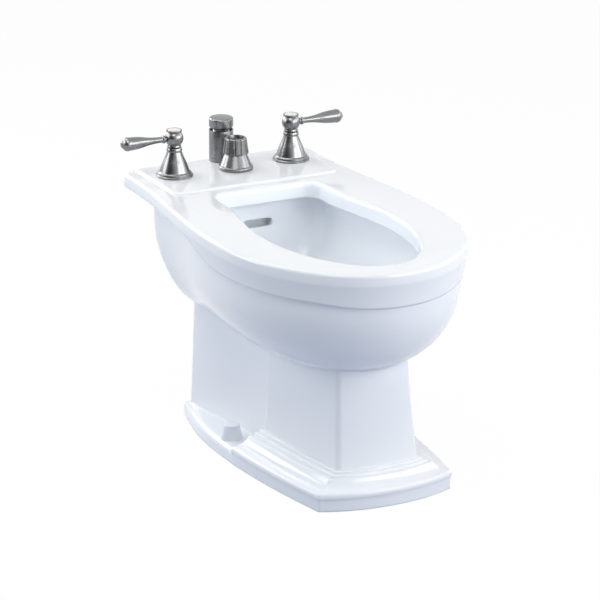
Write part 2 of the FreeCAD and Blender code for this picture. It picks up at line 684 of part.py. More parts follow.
def china_body():
    bowl_part = [apron(), faucet_ledge(), hull()]
    solid = top_slab().multiFuse(bowl_part + [pedestal(), column(), plinth(), foot_ledge()])
    solid = solid.cut(cavity())
    plate_z = RIM_TOP_Z - DECK_THICKNESS
    shell = bowl_solid(SHELL_LEVEL_SHARES, BOWL_WALL, plate_z + TINY_LAP)
    duct = overflow_duct(BOWL_WALL - OVERRUN, OVERFLOW_SKIN + OVERFLOW_DEPTH + OVERFLOW_SKIN,
                         OVERFLOW_SLOT_WIDTH / 2 + OVERFLOW_SKIN, OVERFLOW_SKIN)
    drain_boss = cylinder(DRAIN_BOSS_RADIUS, BOWL_FLOOR_Z - DRAIN_SEAT_Z, (0, DRAIN_Y, DRAIN_SEAT_Z))
    solid = solid.multiFuse([shell, duct, drain_boss])
    curtain = prism(open_outline(RIM_TOP_Z - CURTAIN_DEPTH, CURTAIN_WALL), RIM_TOP_Z)
    hollow = bowl_solid(BOWL_LEVEL_SHARES, 0, plate_z).cut(curtain)
    mouth = prism(open_outline(RIM_TOP_Z - CURTAIN_DEPTH - OVERRUN), RIM_TOP_Z)
    passage = overflow_duct(OVERFLOW_SKIN, OVERFLOW_SKIN + OVERFLOW_DEPTH, OVERFLOW_SLOT_WIDTH / 2, 0)
    holes = [cylinder(DECK_HOLE_RADIUS, LEDGE_HEIGHT, (x, y, plate_z - OVERRUN)) for x, y in deck_holes()]
    foot_deep = FOOT_HEIGHT + 2 * OVERRUN
    holes += [cylinder(FLOOR_BOLT_HOLE / 2, foot_deep, (s * FLOOR_BOLT_SPACING / 2, 0, -OVERRUN))
              for s in (-1, 1)]
    deep = BOWL_FLOOR_Z - DRAIN_SEAT_Z + 2 * OVERRUN
    inlet_y = OPEN_REAR_Y + CURTAIN_WALL + OVERRUN
    holes += [cylinder(DRAIN_HOLE_RADIUS, deep, (0, DRAIN_Y, DRAIN_SEAT_Z - OVERRUN)),
              cylinder(SPRAY_HOLE_RADIUS, deep, (0, SPRAY_Y, DRAIN_SEAT_Z - OVERRUN)),
              rod_along_y(RIM_INLET_RADIUS + PORT_CLEARANCE, inlet_y, inlet_y + RIM_INLET_REACH, RIM_INLET_Z)]
    solid = solid.cut(Part.Compound([hollow])).cut(mouth)
    return solid.cut(passage.fuse(overflow_slot())).cut(Part.Compound(holes))


def deck_holes():
    return [(-HANDLE_SPACING / 2, HANDLE_Y), (HANDLE_SPACING / 2, HANDLE_Y), (0, BREAKER_Y), (0, DIVERTER_Y)]


def turned(points, at=(0, 0), z=0):
    """A solid of revolution about a vertical axis through (radius, height) points, one after another.

    A third value makes the run that arrives there an arc, and says how far it swells to the right.
    """
    edges = []
    for before, point in zip(points, points[1:] + points[:1]):
        start, end = V(before[0], 0, before[1]), V(point[0], 0, point[1])
        if len(point) == 3:
            way = (end - start).normalize()
            middle = (start + end) / 2 + V(way.z, 0, -way.x) * point[2]
            edges.append(Part.Arc(start, middle, end).toShape())
        else:
            edges.append(Part.LineSegment(start, end).toShape())
    solid = Part.Face(Part.Wire(edges)).revolve(V(0, 0, 0), UP, 360)
    solid.translate(V(at[0], at[1], z))
    return solid


def dome_swell(radius, rise):
    """The swell of the arc that takes a dome from its edge to its top on the axis."""
    ball = (radius ** 2 + rise ** 2) / (2 * rise)
    return ball - math.sqrt(ball ** 2 - (radius ** 2 + rise ** 2) / 4)


def ring(outer, inner, low, high, at):
    solid = cylinder(outer, high - low, (at[0], at[1], low))
    return solid.cut(cylinder(inner, high - low + 2 * OVERRUN, (at[0], at[1], low - OVERRUN)))


def hex_nut(radius, inner, low, high, at):
    turns = [math.pi / 3 * i for i in range(7)]
    corners = [V(at[0] + radius * math.cos(turn), at[1] + radius * math.sin(turn), low) for turn in turns]
    solid = Part.Face(Part.makePolygon(corners)).extrude(UP * (high - low))
    return solid.cut(cylinder(inner, high - low + 2 * OVERRUN, (at[0], at[1], low - OVERRUN)))


def rod_along_y(radius, y_low, y_high, z, x=0):
    return cylinder(radius, y_high - y_low, (x, y_low, z), V(0, 1, 0))


def pipe(points, radius):
    """A round bar through the points, with a bend of the same radius at each corner."""
    pieces = []
    start = V(*points[0])
    for corner, after in zip(points[1:], points[2:]):
        c = V(*corner)
        come = (c - start).normalize()
        go = (V(*after) - c).normalize()
        angle = come.getAngle(go)
        back = TUBE_BEND_RADIUS * math.tan(angle / 2)
        first = c - come * back
        axis = come.cross(go)
        centre = first + axis.cross(come).normalize() * TUBE_BEND_RADIUS
        end = Part.Face(Part.Wire(Part.makeCircle(radius, first, come)))
        pieces.append(cylinder(radius, (first - start).Length, start, come))
        pieces.append(end.revolve(centre, axis, math.degrees(angle)))
        start = c + go * back
    last = V(*points[-1])
    pieces.append(cylinder(radius, (last - start).Length, start, last - start))
    return pieces[0].multiFuse(pieces[1:])


def tube(points):
    return pipe(points, TUBE_RADIUS).cut(pipe(points, TUBE_RADIUS - TUBE_WALL))


def bell(at):
    """The stepped, bell-shaped trim under a handle, hollow over the valve."""
    inner = BELL_FOOT_RADIUS - BELL_WALL
    return turned([
        (inner, 0), (BELL_RADIUS, 0), (BELL_RADIUS, BELL_RIM_HEIGHT), (BELL_STEP_RADIUS, BELL_STEP_HEIGHT),
        (BELL_STEP_RADIUS, BELL_TIER_HEIGHT), (BELL_FOOT_RADIUS, BELL_FOOT_HEIGHT),
        (BELL_MIDDLE_RADIUS, BELL_MIDDLE_HEIGHT, BELL_BULGE),
        (BELL_NECK_RADIUS, BELL_NECK_HEIGHT, -BELL_BULGE),
        (BELL_COLLAR_RADIUS, BELL_COLLAR_HEIGHT), (BELL_NECK_RADIUS, BELL_HEIGHT),
        (BELL_BORE_RADIUS, BELL_HEIGHT),
        (BELL_BORE_RADIUS, BELL_NECK_HEIGHT), (inner, BELL_FOOT_HEIGHT),
    ], at, LEDGE_HEIGHT)


def handle_hub(at, side):
    """The ball that carries the lever, with its neck, top ring and sockets for stem, screw and lever."""
    x, y = at
    low = BELL_HEIGHT + HUB_GAP
    drop = math.sqrt(HUB_RADIUS ** 2 - HUB_WAIST_RADIUS ** 2)
    bottom, top = HUB_CENTRE_HEIGHT - drop, HUB_CENTRE_HEIGHT + drop
    seat = BUTTON_HEIGHT - BUTTON_THICKNESS
    hub = turned([
        (0, low), (HUB_NECK_RADIUS, low), (HUB_NECK_RADIUS + HUB_NECK_BEAD, low + HUB_NECK_BEAD),
        (HUB_WAIST_RADIUS, bottom), (HUB_WAIST_RADIUS, top, HUB_RADIUS - HUB_WAIST_RADIUS),
        (HUB_RING_RADIUS, HUB_RING_BOTTOM), (HUB_RING_RADIUS, HUB_RING_HEIGHT),
        (BUTTON_RADIUS, HUB_RING_HEIGHT),
        (BUTTON_RADIUS, seat), (0, seat),
    ], at, LEDGE_HEIGHT)
    z = LEDGE_HEIGHT
    socket = cylinder(STEM_RADIUS, STEM_TOP_HEIGHT - low, (x, y, z + low))
    bore = cylinder(SCREW_RADIUS, seat - low, (x, y, z + low))
    head = cylinder(SCREW_HEAD_RADIUS, SCREW_HEAD_HEIGHT, (x, y, z + seat - SCREW_HEAD_HEIGHT))
    tenon = cylinder(LEVER_TENON_RADIUS, HUB_RADIUS, (x + side * LEVER_TENON_REACH, y, z + HUB_CENTRE_HEIGHT),
                     V(side, 0, 0))
    return hub.cut(socket.multiFuse([bore, head, tenon]))


def lever(at, side):
    """The turned lever: tenon, bead, slim neck and a long swelling grip with a small end button."""
    half = LEVER_BEAD_WIDTH / 2
    arm = turned([
        (0, LEVER_TENON_REACH), (LEVER_TENON_RADIUS, LEVER_TENON_REACH),
        (LEVER_TENON_RADIUS, LEVER_ROOT_REACH),
        (LEVER_NECK_RADIUS, LEVER_ROOT_REACH), (LEVER_NECK_RADIUS, LEVER_BEAD_REACH - half),
        (LEVER_NECK_RADIUS, LEVER_BEAD_REACH + half, LEVER_BEAD_RADIUS - LEVER_NECK_RADIUS),
        (LEVER_NECK_RADIUS, LEVER_NECK_REACH), (LEVER_SWELL_RADIUS, LEVER_SWELL_REACH, -LEVER_SWELL_BULGE),
        (LEVER_GRIP_RADIUS, LEVER_GRIP_REACH, LEVER_SWELL_BULGE),
        (LEVER_TIP_RADIUS, LEVER_END_REACH, LEVER_END_BULGE),
        (LEVER_TIP_RADIUS, LEVER_REACH - LEVER_TIP_BEVEL), (LEVER_TIP_RADIUS - LEVER_TIP_BEVEL, LEVER_REACH),
        (0, LEVER_REACH),
    ])
    arm.rotate(V(0, 0, 0), V(0, 1, 0), side * 90)
    arm.translate(V(at[0], at[1], LEDGE_HEIGHT + HUB_CENTRE_HEIGHT))
    return arm


def index_button(at):
    rise = BUTTON_THICKNESS - BUTTON_DOME
    return turned([(0, 0), (BUTTON_RADIUS, 0), (BUTTON_RADIUS, rise),
                   (0, BUTTON_THICKNESS, dome_swell(BUTTON_RADIUS, BUTTON_DOME))],
                  at, LEDGE_HEIGHT + BUTTON_HEIGHT - BUTTON_THICKNESS)


def handle_screw(at):
    seat = LEDGE_HEIGHT + BUTTON_HEIGHT - BUTTON_THICKNESS
    return turned([(0, -SCREW_LENGTH), (SCREW_RADIUS, -SCREW_LENGTH), (SCREW_RADIUS, -SCREW_HEAD_HEIGHT),
                   (SCREW_HEAD_RADIUS, -SCREW_HEAD_HEIGHT), (SCREW_HEAD_RADIUS, 0), (0, 0)], at, seat)


def valve_stem(at):
    """The stem turns in the valve and carries the hub; the handle screw runs into its top."""
    stem = cylinder(STEM_RADIUS, STEM_DEPTH + STEM_TOP_HEIGHT, (at[0], at[1], LEDGE_HEIGHT - STEM_DEPTH))
    foot = LEDGE_HEIGHT + BUTTON_HEIGHT - BUTTON_THICKNESS - SCREW_LENGTH
    return stem.cut(cylinder(SCREW_RADIUS, SCREW_LENGTH, (at[0], at[1], foot)))


def valve_body(at, directions, stem_bore, stem_depth, neck, inlet):
    """A flanged shank through the deck, the round body under it, and its ports, neck or inlet."""
    x, y = at
    low = LEDGE_HEIGHT - VALVE_DEPTH
    port_z = LEDGE_HEIGHT - PORT_DEPTH
    solids = [cylinder(SHANK_RADIUS, VALVE_DEPTH, (x, y, low)),
              cylinder(FLANGE_RADIUS, FLANGE_THICKNESS, (x, y, LEDGE_HEIGHT)),
              cylinder(VALVE_BODY_RADIUS, VALVE_DEPTH - VALVE_SHOULDER_DEPTH, (x, y, low))]
    cuts = [cylinder(stem_bore, stem_depth + FLANGE_THICKNESS + neck, (x, y, LEDGE_HEIGHT - stem_depth))]
    for dx, dy in directions:
        seat = PORT_REACH - TUBE_SEAT
        solids.append(cylinder(PORT_RADIUS, PORT_REACH, (x, y, port_z), V(dx, dy, 0)))
        cuts.append(cylinder(TUBE_RADIUS, TUBE_SEAT, (x + dx * seat, y + dy * seat, port_z), V(dx, dy, 0)))
        cuts.append(cylinder(TUBE_RADIUS - TUBE_WALL, PORT_REACH, (x, y, port_z), V(dx, dy, 0)))
    if neck:
        solids.append(cylinder(BREAKER_NECK_RADIUS, neck, (x, y, LEDGE_HEIGHT)))
    if inlet:
        solids.append(cylinder(INLET_RADIUS, inlet, (x, y, low - inlet)))
        cuts.append(cylinder(TUBE_RADIUS, inlet + VALVE_DEPTH - stem_depth, (x, y, low - inlet)))
    return solids[0].multiFuse(solids[1:]).cut(cuts[0].multiFuse(cuts[1:]))


def deck_seals(at):
    """The soft washer and the locknut that clamp a shank from under the deck."""
    under = RIM_TOP_Z - DECK_THICKNESS
    low = under - WASHER_THICKNESS
    return (ring(WASHER_RADIUS, SHANK_RADIUS, low, under, at),
            hex_nut(LOCKNUT_RADIUS, SHANK_RADIUS, low - LOCKNUT_THICKNESS, low, at))


def handle_set(name, side):
    """Everything that belongs to one of the two handles."""
    at = (side * HANDLE_SPACING / 2, HANDLE_Y)
    washer, nut = deck_seals(at)
    z = LEDGE_HEIGHT - PORT_DEPTH
    seat = PORT_REACH - TUBE_SEAT
    stem_room = STEM_DEPTH + FREE_CLEARANCE
    return {
        name + "_escutcheon": bell(at),
        name + "_handle_hub": handle_hub(at, side),
        name + "_lever": lever(at, side),
        name + "_index_button": index_button(at),
        name + "_handle_screw": handle_screw(at),
        name + "_valve_stem": valve_stem(at),
        name + "_valve_body": valve_body(at, [(0, 1)], STEM_RADIUS + RUNNING_CLEARANCE, stem_room, 0,
                                         INLET_LENGTH),
        name + "_deck_washer": washer,
        name + "_locknut": nut,
        name + "_mixing_tube": tube([(at[0], HANDLE_Y + seat, z), (at[0], BREAKER_Y, z),
                                     (side * seat, BREAKER_Y, z)]),
    }


def breaker_cap(at):
    """The flat bevelled cap, held clear of the sleeve on short posts so that air can enter."""
    edge, low, high = BREAKER_RADIUS, BREAKER_CAP_BOTTOM, BREAKER_HEIGHT
    inner = edge - BREAKER_CAP_BEVEL
    cap = turned([(0, low), (inner, low), (edge, low + BREAKER_CAP_BEVEL), (edge, high - BREAKER_CAP_BEVEL),
                  (inner, high), (0, high)], at, LEDGE_HEIGHT)
    circle = (BREAKER_NECK_RADIUS + BREAKER_CUP_RADIUS) / 2
    z = LEDGE_HEIGHT + BREAKER_SLEEVE_HEIGHT
    posts = []
    for i in range(BREAKER_POSTS):
        turn = 2 * math.pi * (i + 0.5) / BREAKER_POSTS
        spot = (at[0] + circle * math.cos(turn), at[1] + circle * math.sin(turn), z)
        posts.append(cylinder(BREAKER_POST_RADIUS, low - BREAKER_SLEEVE_HEIGHT + TINY_LAP, spot))
    return cap.multiFuse(posts)


def breaker_float(at):
    """The poppet that lifts under pressure and drops to let air in; its stem is guided in the body."""
    low = LEDGE_HEIGHT + BREAKER_SLEEVE_HEIGHT - BREAKER_CUP_DEPTH + FREE_CLEARANCE
    radius = BREAKER_CUP_RADIUS - FREE_CLEARANCE
    return turned([(0, -FLOAT_STEM_LENGTH), (FLOAT_STEM_RADIUS, -FLOAT_STEM_LENGTH), (FLOAT_STEM_RADIUS, 0),
                   (radius, 0), (radius, FLOAT_THICKNESS), (0, FLOAT_THICKNESS)], at, low)


def vacuum_breaker():
    """The tall breaker behind the diverter: both valves feed it, and it feeds the diverter."""
    at = (0, BREAKER_Y)
    washer, nut = deck_seals(at)
    top = BREAKER_SLEEVE_HEIGHT
    z = LEDGE_HEIGHT + top
    body = valve_body(at, [(1, 0), (-1, 0), (0, -1)], FLOAT_STEM_RADIUS + FREE_CLEARANCE, PORT_DEPTH, top, 0)
    cup = cylinder(BREAKER_CUP_RADIUS, BREAKER_CUP_DEPTH, (0, BREAKER_Y, z - BREAKER_CUP_DEPTH))
    return {
        "breaker_sleeve": ring(BREAKER_RADIUS, BREAKER_RADIUS - BREAKER_SLEEVE_WALL, LEDGE_HEIGHT, z, at),
        "breaker_cap": breaker_cap(at),
        "breaker_float": breaker_float(at),
        "breaker_body": body.cut(cup),
        "breaker_deck_washer": washer,
        "breaker_locknut": nut,
    }


def diverter_collar(at):
    """The conical trim with a rounded foot under the diverter knob."""
    foot = COLLAR_SHOULDER_RADIUS - COLLAR_WALL
    under = COLLAR_HEIGHT - COLLAR_WALL
    return turned([
        (foot, 0), (COLLAR_RADIUS, 0), (COLLAR_RADIUS, COLLAR_EDGE_HEIGHT),
        (COLLAR_SHOULDER_RADIUS, COLLAR_FOOT_HEIGHT, COLLAR_ROUND_BULGE), (COLLAR_TOP_RADIUS, COLLAR_HEIGHT),
        (BELL_BORE_RADIUS, COLLAR_HEIGHT), (BELL_BORE_RADIUS, under),
        (COLLAR_TOP_RADIUS - COLLAR_WALL, under),
        (foot, COLLAR_FOOT_HEIGHT),
    ], at, LEDGE_HEIGHT)


def diverter_knob(at):
    """A tapered knob with round grooves down its side and a well in its top for the lift knob."""
    x, y = at
    low = LEDGE_HEIGHT + COLLAR_HEIGHT + HUB_GAP
    high = LEDGE_HEIGHT + KNOB_HEIGHT
    floor = high - KNOB_WELL_DEPTH
    edge = KNOB_EDGE_ROUND
    bulge = edge * (1 - math.sqrt(0.5))
    knob = turned([(0, low), (KNOB_BOTTOM_RADIUS, low), (KNOB_TOP_RADIUS, high - edge),
                   (KNOB_TOP_RADIUS - edge, high, bulge), (0, high)], at)
    cuts = [cylinder(KNOB_WELL_RADIUS, KNOB_WELL_DEPTH, (x, y, floor)),
            cylinder(STEM_RADIUS, floor - low, (x, y, low))]
    for i in range(KNOB_GROOVES):
        turn = 2 * math.pi * i / KNOB_GROOVES
        out = V(math.cos(turn), math.sin(turn), 0)
        foot = V(x, y, low) + out * KNOB_BOTTOM_RADIUS
        slope = V(x, y, high - edge) + out * KNOB_TOP_RADIUS - foot
        length = slope.Length + edge + 2 * OVERRUN
        cuts.append(cylinder(KNOB_GROOVE_RADIUS, length, foot - slope.normalize() * OVERRUN, slope))
    return knob.cut(cuts[0].multiFuse(cuts[1:]))


def diverter():
    """The diverter between breaker, rim and spray; its stem is hollow for the lift rod."""
    at = (0, DIVERTER_Y)
    washer, nut = deck_seals(at)
    rod_bore = LIFT_ROD_RADIUS + FREE_CLEARANCE
    stem_room = STEM_DEPTH + FREE_CLEARANCE
    body = valve_body(at, [(0, 1), (0, -1), (1, 0)], STEM_RADIUS + RUNNING_CLEARANCE, stem_room, 0, 0)
    rod_way = cylinder(rod_bore, VALVE_DEPTH, (0, DIVERTER_Y, LEDGE_HEIGHT - VALVE_DEPTH))
    well_floor = LEDGE_HEIGHT + KNOB_HEIGHT - KNOB_WELL_DEPTH
    return {
        "diverter_escutcheon": diverter_collar(at),
        "diverter_knob": diverter_knob(at),
        "diverter_stem": ring(STEM_RADIUS, rod_bore, LEDGE_HEIGHT - STEM_DEPTH, well_floor, at),
        "diverter_body": body.cut(rod_way),
        "diverter_deck_washer": washer,
        "diverter_locknut": nut,
    }


def supply_tubes():
    """The short link from breaker to diverter, the rim feed, and the spray feed under the bowl."""
    z = LEDGE_HEIGHT - PORT_DEPTH
    seat = PORT_REACH - TUBE_SEAT
    rim_y = OPEN_REAR_Y + CURTAIN_WALL + CHANNEL_WIDTH - TUBE_SEAT
    turn_y = HULL_TOP_REAR_Y - 2 * TUBE_BEND_RADIUS
    x = SPRAY_TUBE_OFFSET
    return {
        "transfer_tube": tube([(0, DIVERTER_Y + seat, z), (0, BREAKER_Y - seat, z)]),
        "rim_feed_tube": tube([(0, DIVERTER_Y - seat, z), (0, turn_y, z), (0, turn_y, RIM_INLET_Z),
                               (0, rim_y, RIM_INLET_Z)]),
        "spray_feed_tube": tube([(seat, DIVERTER_Y, z), (x, DIVERTER_Y, z), (x, DIVERTER_Y, SPRAY_TUBE_Z),
                                 (0, SPRAY_Y, SPRAY_TUBE_Z), (0, SPRAY_Y, ROSE_SHANK_END_Z + TUBE_SEAT)]),
    }


def spray():
    """The rose in the bowl's floor with its ring of jets, its washer and its locknut."""
    at = (0, SPRAY_Y)
    floor = BOWL_FLOOR_Z
    tail = ROSE_SHANK_END_Z - floor
    rose = turned([
        (0, tail), (ROSE_SHANK_RADIUS, tail), (ROSE_SHANK_RADIUS, 0), (ROSE_RADIUS, 0),
        (ROSE_RADIUS, ROSE_EDGE),
        (0, ROSE_HEIGHT, dome_swell(ROSE_RADIUS, ROSE_HEIGHT - ROSE_EDGE)),
    ], at, floor)
    cuts = [cylinder(TUBE_RADIUS, -tail, (0, SPRAY_Y, ROSE_SHANK_END_Z))]
    for i in range(ROSE_JETS):
        turn = 2 * math.pi * i / ROSE_JETS
        x, y = ROSE_JET_CIRCLE_RADIUS * math.cos(turn), ROSE_JET_CIRCLE_RADIUS * math.sin(turn)
        cuts.append(cylinder(ROSE_JET_RADIUS, ROSE_HEIGHT + 2 * OVERRUN, (x, SPRAY_Y + y, floor - OVERRUN)))
    under = BOWL_FLOOR_Z - BOWL_WALL
    low = under - SPRAY_WASHER_THICKNESS
    return {
        "spray_rose": rose.cut(cuts[0].multiFuse(cuts[1:])),
        "spray_washer": ring(SPRAY_NUT_RADIUS, ROSE_SHANK_RADIUS, low, under, at),
        "spray_locknut": hex_nut(SPRAY_NUT_RADIUS, ROSE_SHANK_RADIUS, low - SPRAY_NUT_THICKNESS, low, at),
    }


def drain_flange(at):
    """The ring in the bowl's floor, with a conical seat for the stopper and a tube down through the china."""
    floor = BOWL_FLOOR_Z
    top = floor + DRAIN_FLANGE_RISE
    return turned([
        (DRAIN_BORE_RADIUS, DRAIN_TUBE_END_Z), (DRAIN_TUBE_RADIUS, DRAIN_TUBE_END_Z),
        (DRAIN_TUBE_RADIUS, floor),
        (DRAIN_FLANGE_RADIUS, floor), (DRAIN_FLANGE_RADIUS, floor + DRAIN_FLANGE_EDGE),
        (FLANGE_CUP_RADIUS, top),
        (DRAIN_BORE_RADIUS, top - FLANGE_SEAT_DROP),
    ], at)


def drain_body(at):
    """The drain's main tube, with the port at the rear that the pivot rod's ball sits in."""
    top = DRAIN_SEAT_Z - GASKET_THICKNESS - DRAIN_NUT_THICKNESS
    height = top - DRAIN_BODY_END_Z
    mouth = DRAIN_Y + PIVOT_OFFSET + PIVOT_BALL_RADIUS
    body = cylinder(DRAIN_BODY_RADIUS, height, (0, DRAIN_Y, DRAIN_BODY_END_Z))
    body = body.fuse(rod_along_y(PIVOT_PORT_RADIUS, DRAIN_Y, mouth, PIVOT_Z))
    cuts = [cylinder(DRAIN_TUBE_RADIUS, top - DRAIN_TUBE_END_Z, (0, DRAIN_Y, DRAIN_TUBE_END_Z)),
            cylinder(DRAIN_BORE_RADIUS, height, (0, DRAIN_Y, DRAIN_BODY_END_Z)),
            rod_along_y(PIVOT_BALL_RADIUS + FREE_CLEARANCE, DRAIN_Y, mouth, PIVOT_Z)]
    return body.cut(cuts[0].multiFuse(cuts[1:]))


def pivot_nut():
    """The nut that holds the ball in its port, with a mouth wide enough for the rod to tilt in."""
    end = DRAIN_Y + PIVOT_OFFSET + PIVOT_BALL_RADIUS + PIVOT_NUT_LIP
    start = end - PIVOT_NUT_LENGTH
    bore = rod_along_y(PIVOT_PORT_RADIUS, start, end - PIVOT_NUT_LIP, PIVOT_Z)
    mouth = rod_along_y(PIVOT_MOUTH_RADIUS, start, end, PIVOT_Z)
    return rod_along_y(PIVOT_NUT_RADIUS, start, end, PIVOT_Z).cut(bore.fuse(mouth))


def pivot_rod():
    """A straight rod through a ball: the tip works the stopper and the tail sits in the strap."""
    rod = rod_along_y(PIVOT_ROD_RADIUS, DRAIN_Y - PIVOT_TIP_REACH, DIVERTER_Y + PIVOT_TAIL_REACH, PIVOT_Z)
    return rod.fuse(Part.makeSphere(PIVOT_BALL_RADIUS, V(0, DRAIN_Y + PIVOT_OFFSET, PIVOT_Z)))


def stopper():
    """The stopper stands raised at rest; its stem ends in the eye that the pivot rod's tip passes through."""
    arm = DIVERTER_Y - STRAP_SETBACK - DRAIN_Y - PIVOT_OFFSET
    slope = FLANGE_SEAT_DROP / (FLANGE_CUP_RADIUS - DRAIN_BORE_RADIUS)
    seat = BOWL_FLOOR_Z + DRAIN_FLANGE_RISE - FLANGE_SEAT_DROP
    shut = seat - slope * (DRAIN_BORE_RADIUS - STOPPER_ROOT_RADIUS)
    low = shut + FREE_CLEARANCE + LIFT_TRAVEL * PIVOT_OFFSET / arm
    edge = slope * (STOPPER_RADIUS - STOPPER_ROOT_RADIUS)
    rim = edge + STOPPER_EDGE
    y = DRAIN_Y
    cap = turned([(0, 0), (STOPPER_ROOT_RADIUS, 0), (STOPPER_RADIUS, edge), (STOPPER_RADIUS, rim),
                  (0, rim + STOPPER_DOME, dome_swell(STOPPER_RADIUS, STOPPER_DOME))], (0, y), low)
    eye_top = PIVOT_Z + STOPPER_EYE_WIDTH / 2
    half = STOPPER_EYE_THICKNESS / 2
    wide = STOPPER_EYE_WIDTH / 2
    reach, thin = STOPPER_FIN_REACH, STOPPER_FIN_THICKNESS / 2
    pieces = [cylinder(STOPPER_STEM_RADIUS, low - eye_top, (0, y, eye_top)),
              box((-wide, y - half, PIVOT_Z - wide), (wide, y + half, eye_top)),
              box((-reach, y - thin, low - STOPPER_FIN_HEIGHT), (reach, y + thin, low)),
              box((-thin, y - reach, low - STOPPER_FIN_HEIGHT), (thin, y + reach, low))]
    return cap.multiFuse(pieces).cut(rod_along_y(EYE_RADIUS, y - wide, y + wide, PIVOT_Z))


def lift_parts():
    """Knob, rod, strap and thumb screw: they slide up and down together."""
    at = (0, DIVERTER_Y)
    seat = LEDGE_HEIGHT + KNOB_HEIGHT - KNOB_WELL_DEPTH + FREE_CLEARANCE
    front = DIVERTER_Y - STRAP_SETBACK - STRAP_THICKNESS / 2
    face = front + STRAP_THICKNESS
    half = STRAP_WIDTH / 2
    size = STRAP_BLOCK_SIZE / 2
    end = DIVERTER_Y + size
    strap = box((-half, front, STRAP_END_Z), (half, face, STRAP_TOP_Z))
    strap = strap.fuse(box((-size, face, STRAP_SCREW_Z - size), (size, end, STRAP_SCREW_Z + size)))
    bolt = DIVERTER_Y + LIFT_ROD_RADIUS
    holes = [cylinder(LIFT_ROD_RADIUS, STRAP_TOP_Z - ROD_END_Z, (0, DIVERTER_Y, ROD_END_Z)),
             rod_along_y(EYE_RADIUS, front - OVERRUN, face + OVERRUN, PIVOT_Z),
             rod_along_y(STRAP_SCREW_RADIUS, bolt, end, STRAP_SCREW_Z)]
    screw_end = bolt + STRAP_SCREW_LENGTH
    screw = rod_along_y(STRAP_SCREW_RADIUS, bolt, screw_end, STRAP_SCREW_Z)
    head = rod_along_y(STRAP_SCREW_HEAD_RADIUS, screw_end, screw_end + STRAP_SCREW_HEAD_LENGTH, STRAP_SCREW_Z)
    return {
        "lift_knob": turned([
            (0, 0), (LIFT_KNOB_NECK_RADIUS, 0), (LIFT_KNOB_NECK_RADIUS, LIFT_KNOB_NECK_HEIGHT),
            (LIFT_KNOB_RADIUS, LIFT_KNOB_EDGE_HEIGHT),
            (0, LIFT_KNOB_HEIGHT, dome_swell(LIFT_KNOB_RADIUS, LIFT_KNOB_HEIGHT - LIFT_KNOB_EDGE_HEIGHT)),
        ], at, seat),
        "lift_rod": cylinder(LIFT_ROD_RADIUS, seat - ROD_END_Z, (0, DIVERTER_Y, ROD_END_Z)),
        "lift_strap": strap.cut(holes[0].multiFuse(holes[1:])),
        "strap_screw": screw.fuse(head),
    }


def drain():
    """The pop-up drain from its flange in the bowl down to the tailpiece, with its pivot rod and stopper."""
    at = (0, DRAIN_Y)
    nut_top = DRAIN_SEAT_Z - GASKET_THICKNESS
    nut_low = nut_top - DRAIN_NUT_THICKNESS
    low = DRAIN_BODY_END_Z
    slip_nut = cylinder(SLIP_NUT_RADIUS, SLIP_NUT_HEIGHT + SLIP_NUT_LIP, (0, DRAIN_Y, low - SLIP_NUT_LIP))
    grip = cylinder(DRAIN_BODY_RADIUS, SLIP_NUT_HEIGHT, (0, DRAIN_Y, low))
    lip = cylinder(TAILPIECE_NECK_RADIUS, SLIP_NUT_HEIGHT, (0, DRAIN_Y, low - SLIP_NUT_LIP))
    tail_bore = TAILPIECE_RADIUS - TAILPIECE_WALL
    tail = ring(TAILPIECE_RADIUS, tail_bore, TAILPIECE_END_Z, low - SLIP_NUT_LIP, at)
    neck = ring(TAILPIECE_NECK_RADIUS, tail_bore, low - SLIP_NUT_LIP, TAILPIECE_TOP_Z, at)
    return {
        "drain_flange": drain_flange(at),
        "drain_gasket": ring(GASKET_RADIUS, DRAIN_TUBE_RADIUS, nut_top, DRAIN_SEAT_Z, at),
        "drain_locknut": hex_nut(DRAIN_NUT_RADIUS, DRAIN_TUBE_RADIUS, nut_low, nut_top, at),
        "drain_body": drain_body(at),
        "pivot_nut": pivot_nut(),
        "pivot_rod": pivot_rod(),
        "drain_stopper": stopper(),
        "slip_nut": slip_nut.cut(grip.fuse(lip)),
        "tailpiece": tail.fuse(neck),
    }


def floor_caps():
    """The two hollow caps over the floor bolts, each round a low seat washer."""
    inner = CAP_TOP_RADIUS - CAP_WALL
    under = CAP_HEIGHT - CAP_WALL
    caps, seats = [], []
    for side in (-1, 1):
        at = (side * FLOOR_BOLT_SPACING / 2, 0)
        caps.append(turned([
            (CAP_BASE_RADIUS - CAP_WALL, 0), (CAP_BASE_RADIUS, 0), (CAP_TOP_RADIUS, CAP_HEIGHT - CAP_BEVEL),
            (CAP_TOP_RADIUS - CAP_BEVEL, CAP_HEIGHT), (0, CAP_HEIGHT), (0, under), (inner, under),
        ], at, FOOT_HEIGHT))
        seat_top = FOOT_HEIGHT + CAP_SEAT_THICKNESS
        seats.append(ring(CAP_SEAT_RADIUS, FLOOR_BOLT_HOLE / 2, FOOT_HEIGHT, seat_top, at))
    return {"floor_bolt_caps": Part.Compound(caps), "cap_seat_washers": Part.Compound(seats)}


def all_parts():
    parts = {"china_body": china_body()}
    groups = [handle_set("hot", -1), handle_set("cold", 1), vacuum_breaker(), diverter(), supply_tubes()]
    groups += [spray(), drain(), lift_parts(), floor_caps()]
    for group in groups:
        parts.update(group)
    return parts


os.makedirs("parts", exist_ok=True)
for name, shape in all_parts().items():
    shape.exportStep("parts/" + name + ".step")
    print(name, len(shape.Solids), shape.isValid(), round(shape.Volume))
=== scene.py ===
# %% [markdown]
# # A bidet in glazed china, with its lever faucets
#
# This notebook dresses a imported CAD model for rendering. The china is one fired casting, so
# it is built again as one smooth mesh with fine bands. The turned metal is built again as
# turned metal, from the same profiles. What hides under the deck keeps its CAD form and
# gets its real finish.

